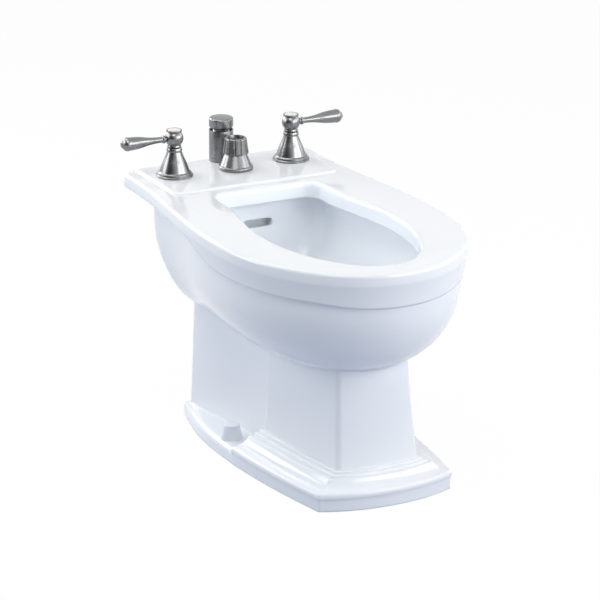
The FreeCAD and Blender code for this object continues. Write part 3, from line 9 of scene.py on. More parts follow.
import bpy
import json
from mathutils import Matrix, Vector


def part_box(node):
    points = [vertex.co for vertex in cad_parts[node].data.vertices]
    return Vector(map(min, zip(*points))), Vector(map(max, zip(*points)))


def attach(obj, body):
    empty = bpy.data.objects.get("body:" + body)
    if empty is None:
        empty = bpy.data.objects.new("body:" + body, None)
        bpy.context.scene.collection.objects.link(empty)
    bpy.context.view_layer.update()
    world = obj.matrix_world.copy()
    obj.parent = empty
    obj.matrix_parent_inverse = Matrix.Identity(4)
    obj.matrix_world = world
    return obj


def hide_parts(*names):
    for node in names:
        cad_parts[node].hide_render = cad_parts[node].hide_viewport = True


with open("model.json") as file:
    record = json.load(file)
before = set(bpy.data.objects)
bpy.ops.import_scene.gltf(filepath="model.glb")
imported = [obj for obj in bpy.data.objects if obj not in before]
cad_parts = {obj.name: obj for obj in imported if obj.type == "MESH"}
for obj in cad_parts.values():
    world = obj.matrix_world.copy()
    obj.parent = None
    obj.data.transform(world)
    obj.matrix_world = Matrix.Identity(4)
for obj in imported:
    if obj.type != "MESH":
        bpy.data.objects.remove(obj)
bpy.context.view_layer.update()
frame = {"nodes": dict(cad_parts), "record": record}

# %% The modules, the unit and the photograph's frame
import json
import math

import bmesh
import bpy
import numpy as np
from mathutils import Matrix, Vector

MM = 0.001
PHOTO_WIDTH = 600
SENSOR_WIDTH = 36.0
scene = bpy.context.scene
scene.view_settings.view_transform = "Standard"


def linked(name, data):
    """A new object with this data, in the scene."""
    made = bpy.data.objects.new(name, data)
    scene.collection.objects.link(made)
    return made


# %% [markdown]
# ## The camera
#
# The photograph was taken with a long lens from the front left and a little above. Upright
# edges stay nearly parallel in it, which only a far camera gives. So the camera stands six
# metres away, and its focal length in pixels sets the size of the object in the frame.

# %% The camera
CAMERA_AZIMUTH = -26.64
CAMERA_ELEVATION = 18.44
CAMERA_DISTANCE = 6000.0
CAMERA_TARGET = (-7.8, -19.0, 236.0)
FOCAL_LENGTH_PX = 3921.3
CLIP_END_METRES = 100


def add_camera():
    """A camera that looks at the target from the photograph's direction."""
    azimuth, elevation = math.radians(CAMERA_AZIMUTH), math.radians(CAMERA_ELEVATION)
    right = Vector((math.cos(azimuth), math.sin(azimuth), 0))
    level_back = Vector((math.sin(azimuth), -math.cos(azimuth), 0))
    back = level_back * math.cos(elevation) + Vector((0, 0, math.sin(elevation)))
    up = back.cross(right)
    turn = Matrix((right, up, back)).transposed().to_4x4()
    place = Matrix.Translation((Vector(CAMERA_TARGET) + back * CAMERA_DISTANCE) * MM)
    data = bpy.data.cameras.new("camera")
    data.sensor_width = SENSOR_WIDTH
    data.lens = FOCAL_LENGTH_PX / PHOTO_WIDTH * SENSOR_WIDTH
    data.clip_end = CLIP_END_METRES
    camera = linked("camera", data)
    camera.matrix_world = place @ turn
    scene.camera = camera
    return camera


print("lens: %.1f mm" % add_camera().data.lens)

# %% [markdown]
# ## Building nodes
#
# Materials and Geometry Nodes are trees of nodes. One small function adds a node, sets
# its settings and values, and links what feeds it.

# %% Functions for nodes, colours and materials


def add(tree, kind, values=None, links=None, **settings):
    """Adds a node: settings are its own, values fill its sockets, and links feed them."""
    node = tree.nodes.new(kind)
    for name, value in settings.items():
        setattr(node, name, value)
    for socket, value in (values or {}).items():
        node.inputs[socket].default_value = value
    for socket, source in (links or {}).items():
        tree.links.new(source, node.inputs[socket])
    return node


def colour(text):
    """An sRGB hex colour as linear red, green, blue and alpha."""
    shares = [int(text[i:i + 2], 16) / 255 for i in (1, 3, 5)]
    return [s / 12.92 if s <= 0.04045 else ((s + 0.055) / 1.055) ** 2.4 for s in shares] + [1.0]


def tinted(tree, factor, one, other):
    """A colour between one and other."""
    mix = add(tree, "ShaderNodeMix", data_type="RGBA")
    mix.inputs[6].default_value = colour(one)
    mix.inputs[7].default_value = colour(other)
    tree.links.new(factor, mix.inputs[0])
    return mix.outputs[2]


def start_material(name):
    """A new material with an empty tree."""
    material = bpy.data.materials.new(name)
    material.use_nodes = True
    material.node_tree.nodes.clear()
    return material, material.node_tree


print("white in linear light:", [round(c, 3) for c in colour("#F5F7FA")[:3]])

# %% [markdown]
# ## The studio
#
# The photograph is a studio shot on white. Softboxes hang on a dome all round, apart from
# the front left. Only faint blue light comes from there, so that the belly of the bowl turns
# blue grey and the metal gets dark bands. The background's white comes from what the camera
# and the reflections see, not from more light on the object. The camera sees white on every
# side; only reflections meet the dark side.

# %% Background, floor and lamps
BACKDROP = "#FFFFFF"
FLOOR_TINT = "#F6F7F9"
FLOOR_BOUNCE_TINT = "#A4AEC4"
FLOOR_GLOW = 0.975
AMBIENT_TINT = "#C8D2DB"
AMBIENT_STRENGTH = 0.02
DARK_SIDE_STRENGTH = 1.0
DARK_SIDE_REFLECTION = 0.04
DARK_SIDE_AZIMUTH = -66.0
DARK_SIDE_START = 0.5
DARK_SIDE_END = 0.92
FLOOR_SIZE = 8000.0
LAMP_DISTANCE = 2300.0
LAMPS = {
    "front": {"azimuth": 20, "elevation": 22, "size": 1100, "watts": 18.8},
    "front_right": {"azimuth": 55, "elevation": 22, "size": 1100, "watts": 18.2},
    "right": {"azimuth": 95, "elevation": 22, "size": 1100, "watts": 7.9},
    "rear_left": {"azimuth": -120, "elevation": 22, "size": 1100, "watts": 16.0},
    "rear": {"azimuth": -160, "elevation": 22, "size": 1100, "watts": 18.8},
    "overhead_front": {"azimuth": -40, "elevation": 62, "size": 1200, "watts": 15.3},
    "overhead_rear": {"azimuth": -150, "elevation": 62, "size": 1200, "watts": 11.2},
}
LAMP_TARGET = (0, 0, 280)


def seen_directly(tree):
    """1 where the camera, a reflection or a refraction looks, and 0 elsewhere."""
    path = add(tree, "ShaderNodeLightPath")
    total = add(tree, "ShaderNodeMath", operation="ADD",
                links={0: path.outputs["Is Camera Ray"], 1: path.outputs["Is Glossy Ray"]})
    return add(tree, "ShaderNodeMath", operation="ADD", use_clamp=True,
               links={0: total.outputs[0], 1: path.outputs["Is Transmission Ray"]}).outputs[0]


def dark_side(tree):
    """1 towards the studio's dark side, at the front left, and 0 elsewhere."""
    azimuth = math.radians(DARK_SIDE_AZIMUTH)
    way = add(tree, "ShaderNodeTexCoord").outputs["Generated"]
    front = add(tree, "ShaderNodeVectorMath", {1: (math.sin(azimuth), -math.cos(azimuth), 0)},
                {0: way}, operation="DOT_PRODUCT")
    return add(tree, "ShaderNodeMapRange",
               {"From Min": DARK_SIDE_START, "From Max": DARK_SIDE_END}, {"Value": front.outputs["Value"]},
               interpolation_type="SMOOTHSTEP").outputs["Result"]


def backdrop(tree, colour_name, strength, dark_strength, dark):
    """A background that dims towards the dark side."""
    level = add(tree, "ShaderNodeMapRange", {"To Min": strength, "To Max": dark_strength},
                {"Value": dark})
    return add(tree, "ShaderNodeBackground", {"Color": colour(colour_name)},
               {"Strength": level.outputs["Result"]}).outputs[0]


def light_world():
    world = bpy.data.worlds.new("studio")
    world.use_nodes = True
    tree = world.node_tree
    tree.nodes.clear()
    dark = dark_side(tree)
    camera = add(tree, "ShaderNodeLightPath").outputs["Is Camera Ray"]
    reflected = add(tree, "ShaderNodeMath", None, {0: dark, 1: camera},
                    operation="SUBTRACT", use_clamp=True)
    mix = add(tree, "ShaderNodeMixShader", links={
        0: seen_directly(tree),
        1: backdrop(tree, AMBIENT_TINT, AMBIENT_STRENGTH, DARK_SIDE_STRENGTH, dark),
        2: backdrop(tree, BACKDROP, 1.0, DARK_SIDE_REFLECTION, reflected.outputs[0]),
    })
    add(tree, "ShaderNodeOutputWorld", links={"Surface": mix.outputs[0]})
    scene.world = world


def lay_floor():
    """White paper that keeps the object's shadow; it throws only a little light back up."""
    half = FLOOR_SIZE / 2 * MM
    mesh = bpy.data.meshes.new("studio_floor")
    mesh.from_pydata([(-half, -half, 0), (half, -half, 0), (half, half, 0), (-half, half, 0)],
                     [], [(0, 1, 2, 3)])
    floor = linked("studio_floor", mesh)
    paper, tree = start_material("studio_paper")
    seen = seen_directly(tree)
    tint = tinted(tree, seen, FLOOR_BOUNCE_TINT, FLOOR_TINT)
    matte = add(tree, "ShaderNodeBsdfDiffuse", links={"Color": tint})
    glow = add(tree, "ShaderNodeEmission", {"Color": colour(BACKDROP), "Strength": 1.0})
    share = add(tree, "ShaderNodeMath", {1: FLOOR_GLOW}, {0: seen}, operation="MULTIPLY")
    mix = add(tree, "ShaderNodeMixShader",
              links={0: share.outputs[0], 1: matte.outputs[0], 2: glow.outputs[0]})
    add(tree, "ShaderNodeOutputMaterial", links={"Surface": mix.outputs[0]})
    mesh.materials.append(paper)


def hang_lamps():
    """Square softboxes on a dome round the object, all turned to its middle."""
    target = Vector(LAMP_TARGET)
    for name, lamp in LAMPS.items():
        azimuth, elevation = math.radians(lamp["azimuth"]), math.radians(lamp["elevation"])
        way = Vector((math.cos(elevation) * math.sin(azimuth), -math.cos(elevation) * math.cos(azimuth),
                      math.sin(elevation)))
        data = bpy.data.lights.new(name, "AREA")
        data.shape = "SQUARE"
        data.size = lamp["size"] * MM
        data.energy = lamp["watts"]
        lamp_object = linked(name, data)
        lamp_object.location = (target + way * LAMP_DISTANCE) * MM
        lamp_object.rotation_euler = way.to_track_quat("Z", "Y").to_euler()


light_world()
lay_floor()
hang_lamps()
print("lamps:", ", ".join(LAMPS))

# %% [markdown]
# ## The finishes
#
# Each finish starts from the real surface: what it is made of and how it was made. The
# fine pattern of each is worked out from a size in millimetres.

# %% A shader with its usual parts
NOISE_MIDDLE = (0.3, 0.7)


def end_material(tree, values, base, roughness, normal):
    """The glossy shader and the material's output."""
    shader = add(tree, "ShaderNodeBsdfPrincipled", values,
                 {"Base Color": base, "Roughness": roughness, "Normal": normal.outputs[0]})
    add(tree, "ShaderNodeOutputMaterial", links={"Surface": shader.outputs[0]})


def noise_by_size(tree, coordinates, size_mm, detail=2.0):
    """Noise whose lumps are about size_mm across."""
    return add(tree, "ShaderNodeTexNoise", {"Scale": 1 / (size_mm * MM), "Detail": detail},
               {"Vector": coordinates}, noise_dimensions="3D").outputs["Fac"]


def spread(tree, source, low, high):
    """The noise's middle range mapped to the range from low to high."""
    return add(tree, "ShaderNodeMapRange",
               {"From Min": NOISE_MIDDLE[0], "From Max": NOISE_MIDDLE[1], "To Min": low, "To Max": high},
               {"Value": source}).outputs["Result"]


# %% [markdown]
# ### Vitreous china
#
# The casting is fired clay under a thick white glaze. The glaze melts and levels, so the
# edges are soft, the surface is glassy, and it has only long faint waves. A Bevel node
# rounds the inner corners as pooled glaze does. Inside the bowl the colour is painted
# lighter and bluer: painted light on the bowl's inner walls.

# %% Vitreous china
GLAZE_WAVE = 22.0
GLAZE_WAVE_DEPTH = 0.05
GLAZE_POOL_RADIUS = 4.0
BOWL_MIDDLE = (0.0, -99.0, 300.0)
BOWL_LOW_Z = 190.0
BOWL_BLEND = 30.0
# Painted light: inside the bowl the glaze is coloured lighter and bluer than elsewhere.
BOWL_PAINTED_LIGHT = "#F6FAFF"
GLAZE_SHADES = ("#EFF2F6", "#F5F7FA")
GLAZE_IOR = 1.52
GLAZE_ROUGHNESS = (0.07, 0.12)


def painted_bowl_light_mask(tree, place):
    """Mask of the painted light in the bowl: 1 on faces that look in at the bowl's middle, 0 elsewhere."""
    face = add(tree, "ShaderNodeNewGeometry").outputs
    way = add(tree, "ShaderNodeVectorMath", {1: [c * MM for c in BOWL_MIDDLE]}, {0: place},
              operation="SUBTRACT")
    look = add(tree, "ShaderNodeVectorMath", None, {0: way.outputs[0], 1: face["True Normal"]},
               operation="DOT_PRODUCT").outputs["Value"]
    inward = add(tree, "ShaderNodeMapRange", {"From Min": 0.0, "From Max": -BOWL_BLEND * MM},
                 {"Value": look})
    height = add(tree, "ShaderNodeSeparateXYZ", links={0: place}).outputs[2]
    high = add(tree, "ShaderNodeMath", {1: BOWL_LOW_Z * MM}, {0: height}, operation="GREATER_THAN")
    return add(tree, "ShaderNodeMath", None, {0: inward.outputs[0], 1: high.outputs[0]},
               operation="MULTIPLY").outputs[0]


def vitreous_china():
    material, tree = start_material("vitreous_china")
    place = add(tree, "ShaderNodeTexCoord").outputs["Object"]
    waves = noise_by_size(tree, place, GLAZE_WAVE)
    cloud = noise_by_size(tree, place, 8 * GLAZE_WAVE)
    pooled = add(tree, "ShaderNodeBevel", {"Radius": GLAZE_POOL_RADIUS * MM}, samples=6)
    bump = add(tree, "ShaderNodeBump", {"Strength": 0.25, "Distance": GLAZE_WAVE_DEPTH * MM},
               {"Height": waves, "Normal": pooled.outputs[0]})
    # Random glaze tone, with painted light that makes the bowl's inside lighter and bluer.
    glaze_tone_and_bowl_light = add(tree, "ShaderNodeMix", {7: colour(BOWL_PAINTED_LIGHT)},
                {0: painted_bowl_light_mask(tree, place), 6: tinted(tree, cloud, *GLAZE_SHADES)}, data_type="RGBA")
    end_material(tree, {"IOR": GLAZE_IOR}, glaze_tone_and_bowl_light.outputs[2], spread(tree, waves, *GLAZE_ROUGHNESS), bump)
    return material


CHINA = vitreous_china()
print("finish:", CHINA.name)

# %% [markdown]
# ### Satin and polished nickel
#
# The trim is brass, turned, plated with nickel and brushed while it spins. The brushing
# leaves fine rings round each piece, which widen the highlights. Each turned mesh carries
# the distance along its profile, and noise along that distance draws the rings.

# %% Metals
BRUSH_LINE = 0.35
TARNISH_PATCH = 14.0


def turned_metal(name, light, dark, low, high, line_depth):
    """A metal with fine rings round its axis; low and high are the limits of its roughness."""
    material, tree = start_material(name)
    place = add(tree, "ShaderNodeTexCoord").outputs["Object"]
    along = add(tree, "ShaderNodeAttribute", attribute_name="along_profile").outputs["Fac"]
    rings = add(tree, "ShaderNodeTexNoise", {"Scale": 1 / BRUSH_LINE, "Detail": 3.0},
                {"W": along}, noise_dimensions="1D").outputs["Fac"]
    patches = noise_by_size(tree, place, TARNISH_PATCH)
    bump = add(tree, "ShaderNodeBump", {"Strength": 0.15, "Distance": line_depth * MM},
               {"Height": rings})
    end_material(tree, {"Metallic": 1.0}, tinted(tree, patches, light, dark),
                 spread(tree, rings, low, high), bump)
    return material


def grained(name, light, dark, low, high, grain, patch, strength, depth, values):
    """A skin with a fine grain and faint patches."""
    material, tree = start_material(name)
    place = add(tree, "ShaderNodeTexCoord").outputs["Object"]
    fine = noise_by_size(tree, place, grain)
    patches = noise_by_size(tree, place, patch)
    bump = add(tree, "ShaderNodeBump", {"Strength": strength, "Distance": depth * MM}, {"Height": fine})
    end_material(tree, values, tinted(tree, patches, light, dark), spread(tree, fine, low, high), bump)
    return material


def cast_metal(name, light, dark, low, high, grain):
    """A plain metal, as machined or drawn parts are."""
    return grained(name, light, dark, low, high, grain, 10 * grain, 0.2, 0.03, {"Metallic": 1.0})


SATIN_NICKEL = turned_metal("satin_nickel", "#898A8B", "#7E7F80", 0.24, 0.32, 0.004)
POLISHED_NICKEL = turned_metal("polished_nickel", "#CFCECB", "#C3C2BF", 0.06, 0.12, 0.003)
# The lift button's colour: near-black, far darker than the satin nickel round it.
NEAR_BLACK_METAL = turned_metal("near_black_metal", "#2C2C2E", "#222224", 0.08, 0.14, 0.003)
MACHINED_BRASS = cast_metal("machined_brass", "#B79A63", "#A58850", 0.28, 0.4, 1.2)
DRAWN_COPPER = cast_metal("drawn_copper", "#C98463", "#B5704F", 0.22, 0.34, 1.6)
ZINC_STEEL = cast_metal("zinc_steel", "#B9BCC0", "#A6A9AE", 0.26, 0.38, 1.0)
print("metals:", SATIN_NICKEL.name, POLISHED_NICKEL.name, MACHINED_BRASS.name)

# %% [markdown]
# ### Rubber, plastic and porcelain
#
# Washers are moulded rubber, dull and slightly dusty. The bolt caps are glossy plastic that
# matches the china. The buttons on the levers are glazed porcelain.

# %% Rubber, plastic and porcelain


def moulded(name, light, dark, low, high, grain, depth, ior):
    """A moulded or fired skin."""
    return grained(name, light, dark, low, high, grain, 12 * grain, 0.3, depth, {"IOR": ior})


RUBBER = moulded("moulded_rubber", "#26262A", "#1D1D20", 0.65, 0.85, 0.8, 0.05, 1.52)
PLASTIC = moulded("moulded_plastic", "#E4E5E4", "#D9DAD9", 0.35, 0.5, 1.0, 0.02, 1.46)
CAP_PLASTIC = moulded("glossy_cap_plastic", "#F4F6F9", "#ECEFF4", 0.12, 0.2, 2.0, 0.01, 1.49)
PORCELAIN = moulded("glazed_porcelain", "#F2F0EC", "#E9E6E0", 0.08, 0.14, 3.0, 0.01, 1.52)
FINISH_OF_SLOT = {
    "vitreous_china": CHINA, "satin_nickel": SATIN_NICKEL, "polished_nickel": POLISHED_NICKEL,
    "porcelain": PORCELAIN, "fastener_steel": ZINC_STEEL, "brass": MACHINED_BRASS,
    "copper_tube": DRAWN_COPPER, "rubber": RUBBER, "moulded_plastic": PLASTIC,
    "glossy_cap_plastic": CAP_PLASTIC,
}
SLOT_OF_NODE = {s["node"]: s["material_slot"] for s in frame["record"]["subparts"]}
BODY_OF_NODE = {node: body for body, nodes in frame["record"]["behaviour"]["bodies"].items()
                for node in nodes}
print("slots:", len(FINISH_OF_SLOT))

# %% [markdown]
# ## From points to objects
#
# A finished object sits at the origin with its place in its mesh, so all points are given
# in the row frame in millimetres and turned to metres once, here.

# %% Mesh helpers
TURNED_CREASE = 32
CASTING_CREASE = 34
GROOVED_CREASE = 40
MACHINED_CREASE = 30


def mesh_object(name, points, faces):
    """An object from points in millimetres, with its faces turned outwards."""
    mesh = bpy.data.meshes.new(name)
    mesh.from_pydata((np.array(points, float) * MM).tolist(), [], faces)
    shape = bmesh.new()
    shape.from_mesh(mesh)
    bmesh.ops.recalc_face_normals(shape, faces=shape.faces)
    shape.to_mesh(mesh)
    shape.free()
    return linked(name, mesh)


def result_of(piece):
    """A new mesh of what the object's modifiers make."""
    graph = bpy.context.evaluated_depsgraph_get()
    graph.update()
    return bpy.data.meshes.new_from_object(piece.evaluated_get(graph))


def bake(piece):
    """The object with its modifiers turned into plain mesh."""
    mesh = result_of(piece)
    piece.modifiers.clear()
    old = piece.data
    piece.data = mesh
    bpy.data.meshes.remove(old)
    mesh.name = piece.name
    return piece


def smooth(piece, angle=TURNED_CREASE):
    """Smooth shading, with edges sharper than the angle kept crisp."""
    piece.data.shade_smooth()
    piece.data.set_sharp_from_angle(angle=math.radians(angle))


def finish_piece(piece, nodes, material):
    """Gives the piece its finish, its place of the CAD nodes and their body."""
    piece.data.materials.clear()
    piece.data.materials.append(material)
    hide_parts(*nodes)
    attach(piece, BODY_OF_NODE[nodes[0]])
    print(piece.name, "-", len(piece.data.polygons), "faces")


def low_high(node):
    """The CAD node's box in millimetres."""
    low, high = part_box(node)
    return [c / MM for c in low], [c / MM for c in high]


# %% [markdown]
# ## The china casting
#
# Slip casting gives broad shapes that swell and ease into each other. Every level section
# is an egg or a bowed box drawn with Bezier curves, so the casting is made of closed rings
# joined to solids. Boolean modifiers with the Manifold solver join and cut them, because
# a real casting also is one body with its hollows left by the mould.

# %% Driving sizes of the casting, in millimetres
china_low, china_high = low_high("china_body")
LEDGE_HEIGHT = china_high[2]
DECK_REAR_Y = china_high[1]
RIM_TIP_Y = china_low[1]
RIM_HALF_WIDTH = china_high[0]
LEDGE_STEP = 4.0
RIM_TOP_Z = LEDGE_HEIGHT - LEDGE_STEP
RIM_WIDEST_Y = -99.0
DECK_HALF_WIDTH = 163.0
DECK_CORNER = 12.0
RIM_EDGE_ROUND = 6.0
RIM_TOP_TAPER = 0.5
SLAB_DEPTH = 22.0
SLAB_UNDER_ROUND = 5.0
DECK_THICKNESS = 12.0
ROUND_SHARE = 0.5523
RIM_FRONT_SHARE = 0.575
SIDE_EASE_SHARE = 0.45
OVERRUN = 2.0
LAP = 0.5
print("casting: %.0f x %.0f x %.0f mm" % tuple(h - l for l, h in zip(china_low, china_high)))

# %% Rings and lofts
STEPS_STRAIGHT = 6
STEPS_CORNER = 8
STEPS_SIDE = 30
STEPS_FRONT = 60
STEPS_UNDER = 4
STEPS_SWEEP = 32
STEPS_TIP_SWEEP = 12
STEPS_HALF_TURN = 16


def bezier(poles, count):
    """Points along a Bezier curve, without its last one."""
    t = np.linspace(0, 1, count, endpoint=False)[:, None]
    level = [np.array(p, float) for p in poles]
    level = [np.repeat(p[None, :], count, axis=0) for p in level]
    while len(level) > 1:
        level = [a * (1 - t) + b * t for a, b in zip(level, level[1:])]
    return level[0]


def ring(z, runs):
    """A level closed ring from the runs of its right half, rear centre to front centre."""
    half = np.vstack([bezier(poles, count) for poles, count in runs])
    last = np.array(runs[-1][0][-1], float)[None, :]
    left = half[:0:-1] * np.array([-1.0, 1.0])
    flat = np.vstack([half, last, left])
    return np.column_stack([flat, np.full(len(flat), z)])


def loft(name, rings):
    """A closed solid through rings that have the same number of points."""
    count = len(rings[0])
    faces = [tuple(range(count)), tuple(range((len(rings) - 1) * count, len(rings) * count))]
    for level in range(len(rings) - 1):
        low, high = level * count, (level + 1) * count
        for i in range(count):
            j = (i + 1) % count
            faces.append((low + i, low + j, high + j, high + i))
    return mesh_object(name, np.vstack(rings), faces)


def boolean(piece, operation, tools):
    """Joins the tools to the piece or cuts them out of it, and removes them."""
    for tool in tools:
        step = piece.modifiers.new(tool.name, "BOOLEAN")
        step.solver = "MANIFOLD"
        step.operation = operation
        step.object = tool
        bake(piece)
        bpy.data.objects.remove(tool)
    return piece


def blend(a, b, share):
    return a + (b - a) * share


def egg(z, wide, wide_y, tip_y, rear, rear_y, corner, front_share=ROUND_SHARE):
    """Straight rear edge, round corners, easing sides and a round front."""
    bite = corner * (1 - ROUND_SHARE)
    ease = (rear_y - corner - wide_y) * SIDE_EASE_SHARE
    reach = (wide_y - tip_y) * front_share
    return ring(z, [
        ([(0, rear_y), (rear - corner, rear_y)], STEPS_STRAIGHT),
        ([(rear - corner, rear_y), (rear - bite, rear_y), (rear, rear_y - bite),
          (rear, rear_y - corner)], STEPS_CORNER),
        ([(rear, rear_y - corner), (rear, rear_y - corner - ease), (wide, wide_y + ease),
          (wide, wide_y)], STEPS_SIDE),
        ([(wide, wide_y), (wide, wide_y - reach), (wide * front_share, tip_y), (0, tip_y)],
         STEPS_FRONT),
    ])


def round_over(radius, z_top, steps=7):
    """Inset and height of each level of an edge rounded off below z_top."""
    turns = [math.pi / 2 * i / steps for i in range(steps + 1)]
    return [(radius * (1 - math.cos(t)), z_top - radius * (1 - math.sin(t))) for t in turns]


# %% The rim and deck, with the moulded apron under them
OPEN_HALF_WIDTH = 110.0
OPEN_TIP_Y = -306.0
OPEN_REAR_HALF_WIDTH = 88.0
OPEN_REAR_Y = 122.0
OPEN_CORNER = 26.0
OPEN_EDGE_ROUND = 8.0
APRON_DEPTH = 54.0
APRON_SIDE_DEPTH = 47.0
APRON_TIP_LENGTH = 70.0
APRON_DRAFT = 5.0
APRON_STEP = 4.0
APRON_RISE_START_Y = -110.0
APRON_RISE_END_Y = 70.0
SWEEP_SHARE = 0.4


def rim_ring(z, inset=0.0):
    return egg(z, RIM_HALF_WIDTH - inset, RIM_WIDEST_Y, RIM_TIP_Y + inset,
               DECK_HALF_WIDTH - inset, DECK_REAR_Y - inset, DECK_CORNER, RIM_FRONT_SHARE)


def open_ring(z, grow=0.0):
    return egg(z, OPEN_HALF_WIDTH + grow, RIM_WIDEST_Y, OPEN_TIP_Y - grow,
               OPEN_REAR_HALF_WIDTH + grow, OPEN_REAR_Y + grow, OPEN_CORNER + grow)


def rim_slab():
    """The slab with its rounded outer edge and its rounded opening."""
    mid_z = RIM_TOP_Z - SLAB_DEPTH
    under = [(SLAB_UNDER_ROUND / 2 * (1 - math.sin(t)), mid_z + SLAB_UNDER_ROUND * (1 - math.cos(t)))
             for t in np.linspace(0, math.pi / 2, STEPS_UNDER + 1)]
    edge = [(RIM_TOP_TAPER + i, z) for i, z in round_over(RIM_EDGE_ROUND, RIM_TOP_Z)]
    slab = loft("slab", [rim_ring(z, i) for i, z in under + edge])
    mouth = [(0.0, mid_z - OVERRUN)] + round_over(OPEN_EDGE_ROUND, RIM_TOP_Z)
    mouth += [(OPEN_EDGE_ROUND, RIM_TOP_Z + OVERRUN)]
    return boolean(slab, "DIFFERENCE", [loft("mouth", [open_ring(z, i) for i, z in mouth])])


def extruded(name, outline, low_x, high_x):
    """A solid across the width from an outline of (y, z) points."""
    count = len(outline)
    points = [(low_x, y, z) for y, z in outline] + [(high_x, y, z) for y, z in outline]
    faces = [tuple(range(count)), tuple(range(2 * count - 1, count - 1, -1))]
    faces += [(i, (i + 1) % count, count + (i + 1) % count, count + i) for i in range(count)]
    return mesh_object(name, points, faces)


def apron():
    """The band under the slab, deepest at the tip and swept up where the deck begins."""
    top_z = RIM_TOP_Z - SLAB_DEPTH + SLAB_UNDER_ROUND
    low_z, side_z = RIM_TOP_Z - APRON_DEPTH, RIM_TOP_Z - APRON_SIDE_DEPTH
    band = loft("apron", [rim_ring(low_z, APRON_DRAFT), rim_ring(top_z, 0.0)])
    tip, tip_end = RIM_TIP_Y, RIM_TIP_Y + APRON_TIP_LENGTH
    tip_sweep = APRON_TIP_LENGTH * SWEEP_SHARE
    start, end = APRON_RISE_START_Y, APRON_RISE_END_Y
    sweep = (end - start) * SWEEP_SHARE
    rear, below = DECK_REAR_Y + OVERRUN, low_z - OVERRUN
    runs = [
        ([(tip - OVERRUN, low_z), (tip, low_z)], 1),
        ([(tip, low_z), (tip + tip_sweep, low_z), (tip_end - tip_sweep, side_z),
          (tip_end, side_z)], STEPS_TIP_SWEEP),
        ([(tip_end, side_z), (start, side_z)], 1),
        ([(start, side_z), (start + sweep, side_z), (end - sweep, top_z), (end, top_z)], STEPS_SWEEP),
        ([(end, top_z), (rear, top_z)], 1),
        ([(rear, top_z), (rear, below)], 1),
        ([(rear, below), (tip - OVERRUN, below)], 1),
    ]
    outline = np.vstack([bezier(poles, count) for poles, count in runs])
    side = RIM_HALF_WIDTH + OVERRUN
    return boolean(band, "DIFFERENCE", [extruded("apron_cut", outline, -side, side)])


china = boolean(rim_slab(), "UNION", [apron()])
print("rim and apron:", len(china.data.polygons), "faces")

# %% The outer bowl, which opens like a quarter of a rounded square
HULL_BOTTOM_Z = 190.0
HULL_BOTTOM_HALF_WIDTH = 62.0
HULL_BOTTOM_TIP_Y = -205.0
HULL_BOTTOM_REAR_HALF_WIDTH = 93.0
HULL_BOTTOM_REAR_Y = 172.0
HULL_TOP_REAR_HALF_WIDTH = 153.0
HULL_TOP_REAR_Y = 203.0
HULL_CORNER = 8.0
HULL_FULLNESS = 2.1
HULL_REAR_FULLNESS = 1.65
SHELL_WALL = 12.0
SHELL_FRONT_WALL = 24.0
HULL_BANDS = 28
INNER_BANDS = 8


def swell(share, fullness):
    """How far a bowl has opened at a share of its height."""
    return (1 - (1 - share) ** fullness) ** (1 / fullness)


def bowl_shares(bands):
    """Shares of the height whose bands turn by even angles round the belly."""
    return [1 - math.cos(math.pi / 2 * i / bands) ** (2 / HULL_FULLNESS) for i in range(bands)] + [1.0]


def hull_ring(share, inset=0.0, front_inset=0.0, rear_extra=0.0):
    s, back = swell(share, HULL_FULLNESS), swell(share, HULL_REAR_FULLNESS)
    z = blend(HULL_BOTTOM_Z, RIM_TOP_Z - APRON_DEPTH, share) + inset * (1 - share)
    shy = APRON_DRAFT + APRON_STEP
    return egg(z, blend(HULL_BOTTOM_HALF_WIDTH, RIM_HALF_WIDTH - shy, s) - inset, RIM_WIDEST_Y,
               blend(HULL_BOTTOM_TIP_Y, RIM_TIP_Y + shy, s) + front_inset,
               blend(HULL_BOTTOM_REAR_HALF_WIDTH, HULL_TOP_REAR_HALF_WIDTH, back) - inset,
               blend(HULL_BOTTOM_REAR_Y, HULL_TOP_REAR_Y, back) + rear_extra, HULL_CORNER,
               RIM_FRONT_SHARE)


def lifted(one_ring, z):
    """The same ring at another height."""
    copy = one_ring.copy()
    copy[:, 2] = z
    return copy


def hull():
    rings = [hull_ring(q) for q in bowl_shares(HULL_BANDS)]
    return loft("hull", rings + [lifted(rings[-1], RIM_TOP_Z - SLAB_DEPTH + LAP)])


boolean(china, "UNION", [hull()])
print("with the outer bowl:", len(china.data.polygons), "faces")

# %% The faucet ledge, the pedestal and the front column
LEDGE_HALF_WIDTH = 142.0
LEDGE_FRONT_Y = 141.0
LEDGE_REAR_INSET = 6.0
LEDGE_CORNER = 14.0
LEDGE_EDGE_ROUND = 4.0
PEDESTAL_TOP_Z = 236.0
PEDESTAL_REAR_HALF_WIDTH = 95.0
PEDESTAL_WAIST_HALF_WIDTH = 73.0
PEDESTAL_FRONT_Y = -75.0
PEDESTAL_FOOT_FLARE = 4.0
PEDESTAL_REAR_FOOT_FLARE = 10.0
COLUMN_TOP_Z = 262.0
COLUMN_TOP_HALF_WIDTH = 59.0
COLUMN_TOP_FRONT_Y = -248.0
COLUMN_TOP_REAR_HALF_WIDTH = 77.0
COLUMN_FOOT_HALF_WIDTH = 68.5
COLUMN_FOOT_FRONT_Y = -265.0
COLUMN_FOOT_REAR_HALF_WIDTH = 88.0
COLUMN_REAR_Y = -57.0
COLUMN_BOW = 8.0
COLUMN_EDGE_ROUND = 9.0
COLUMN_BANDS = 24
PEDESTAL_BANDS = 10
PLINTH_HEIGHT = 50.0


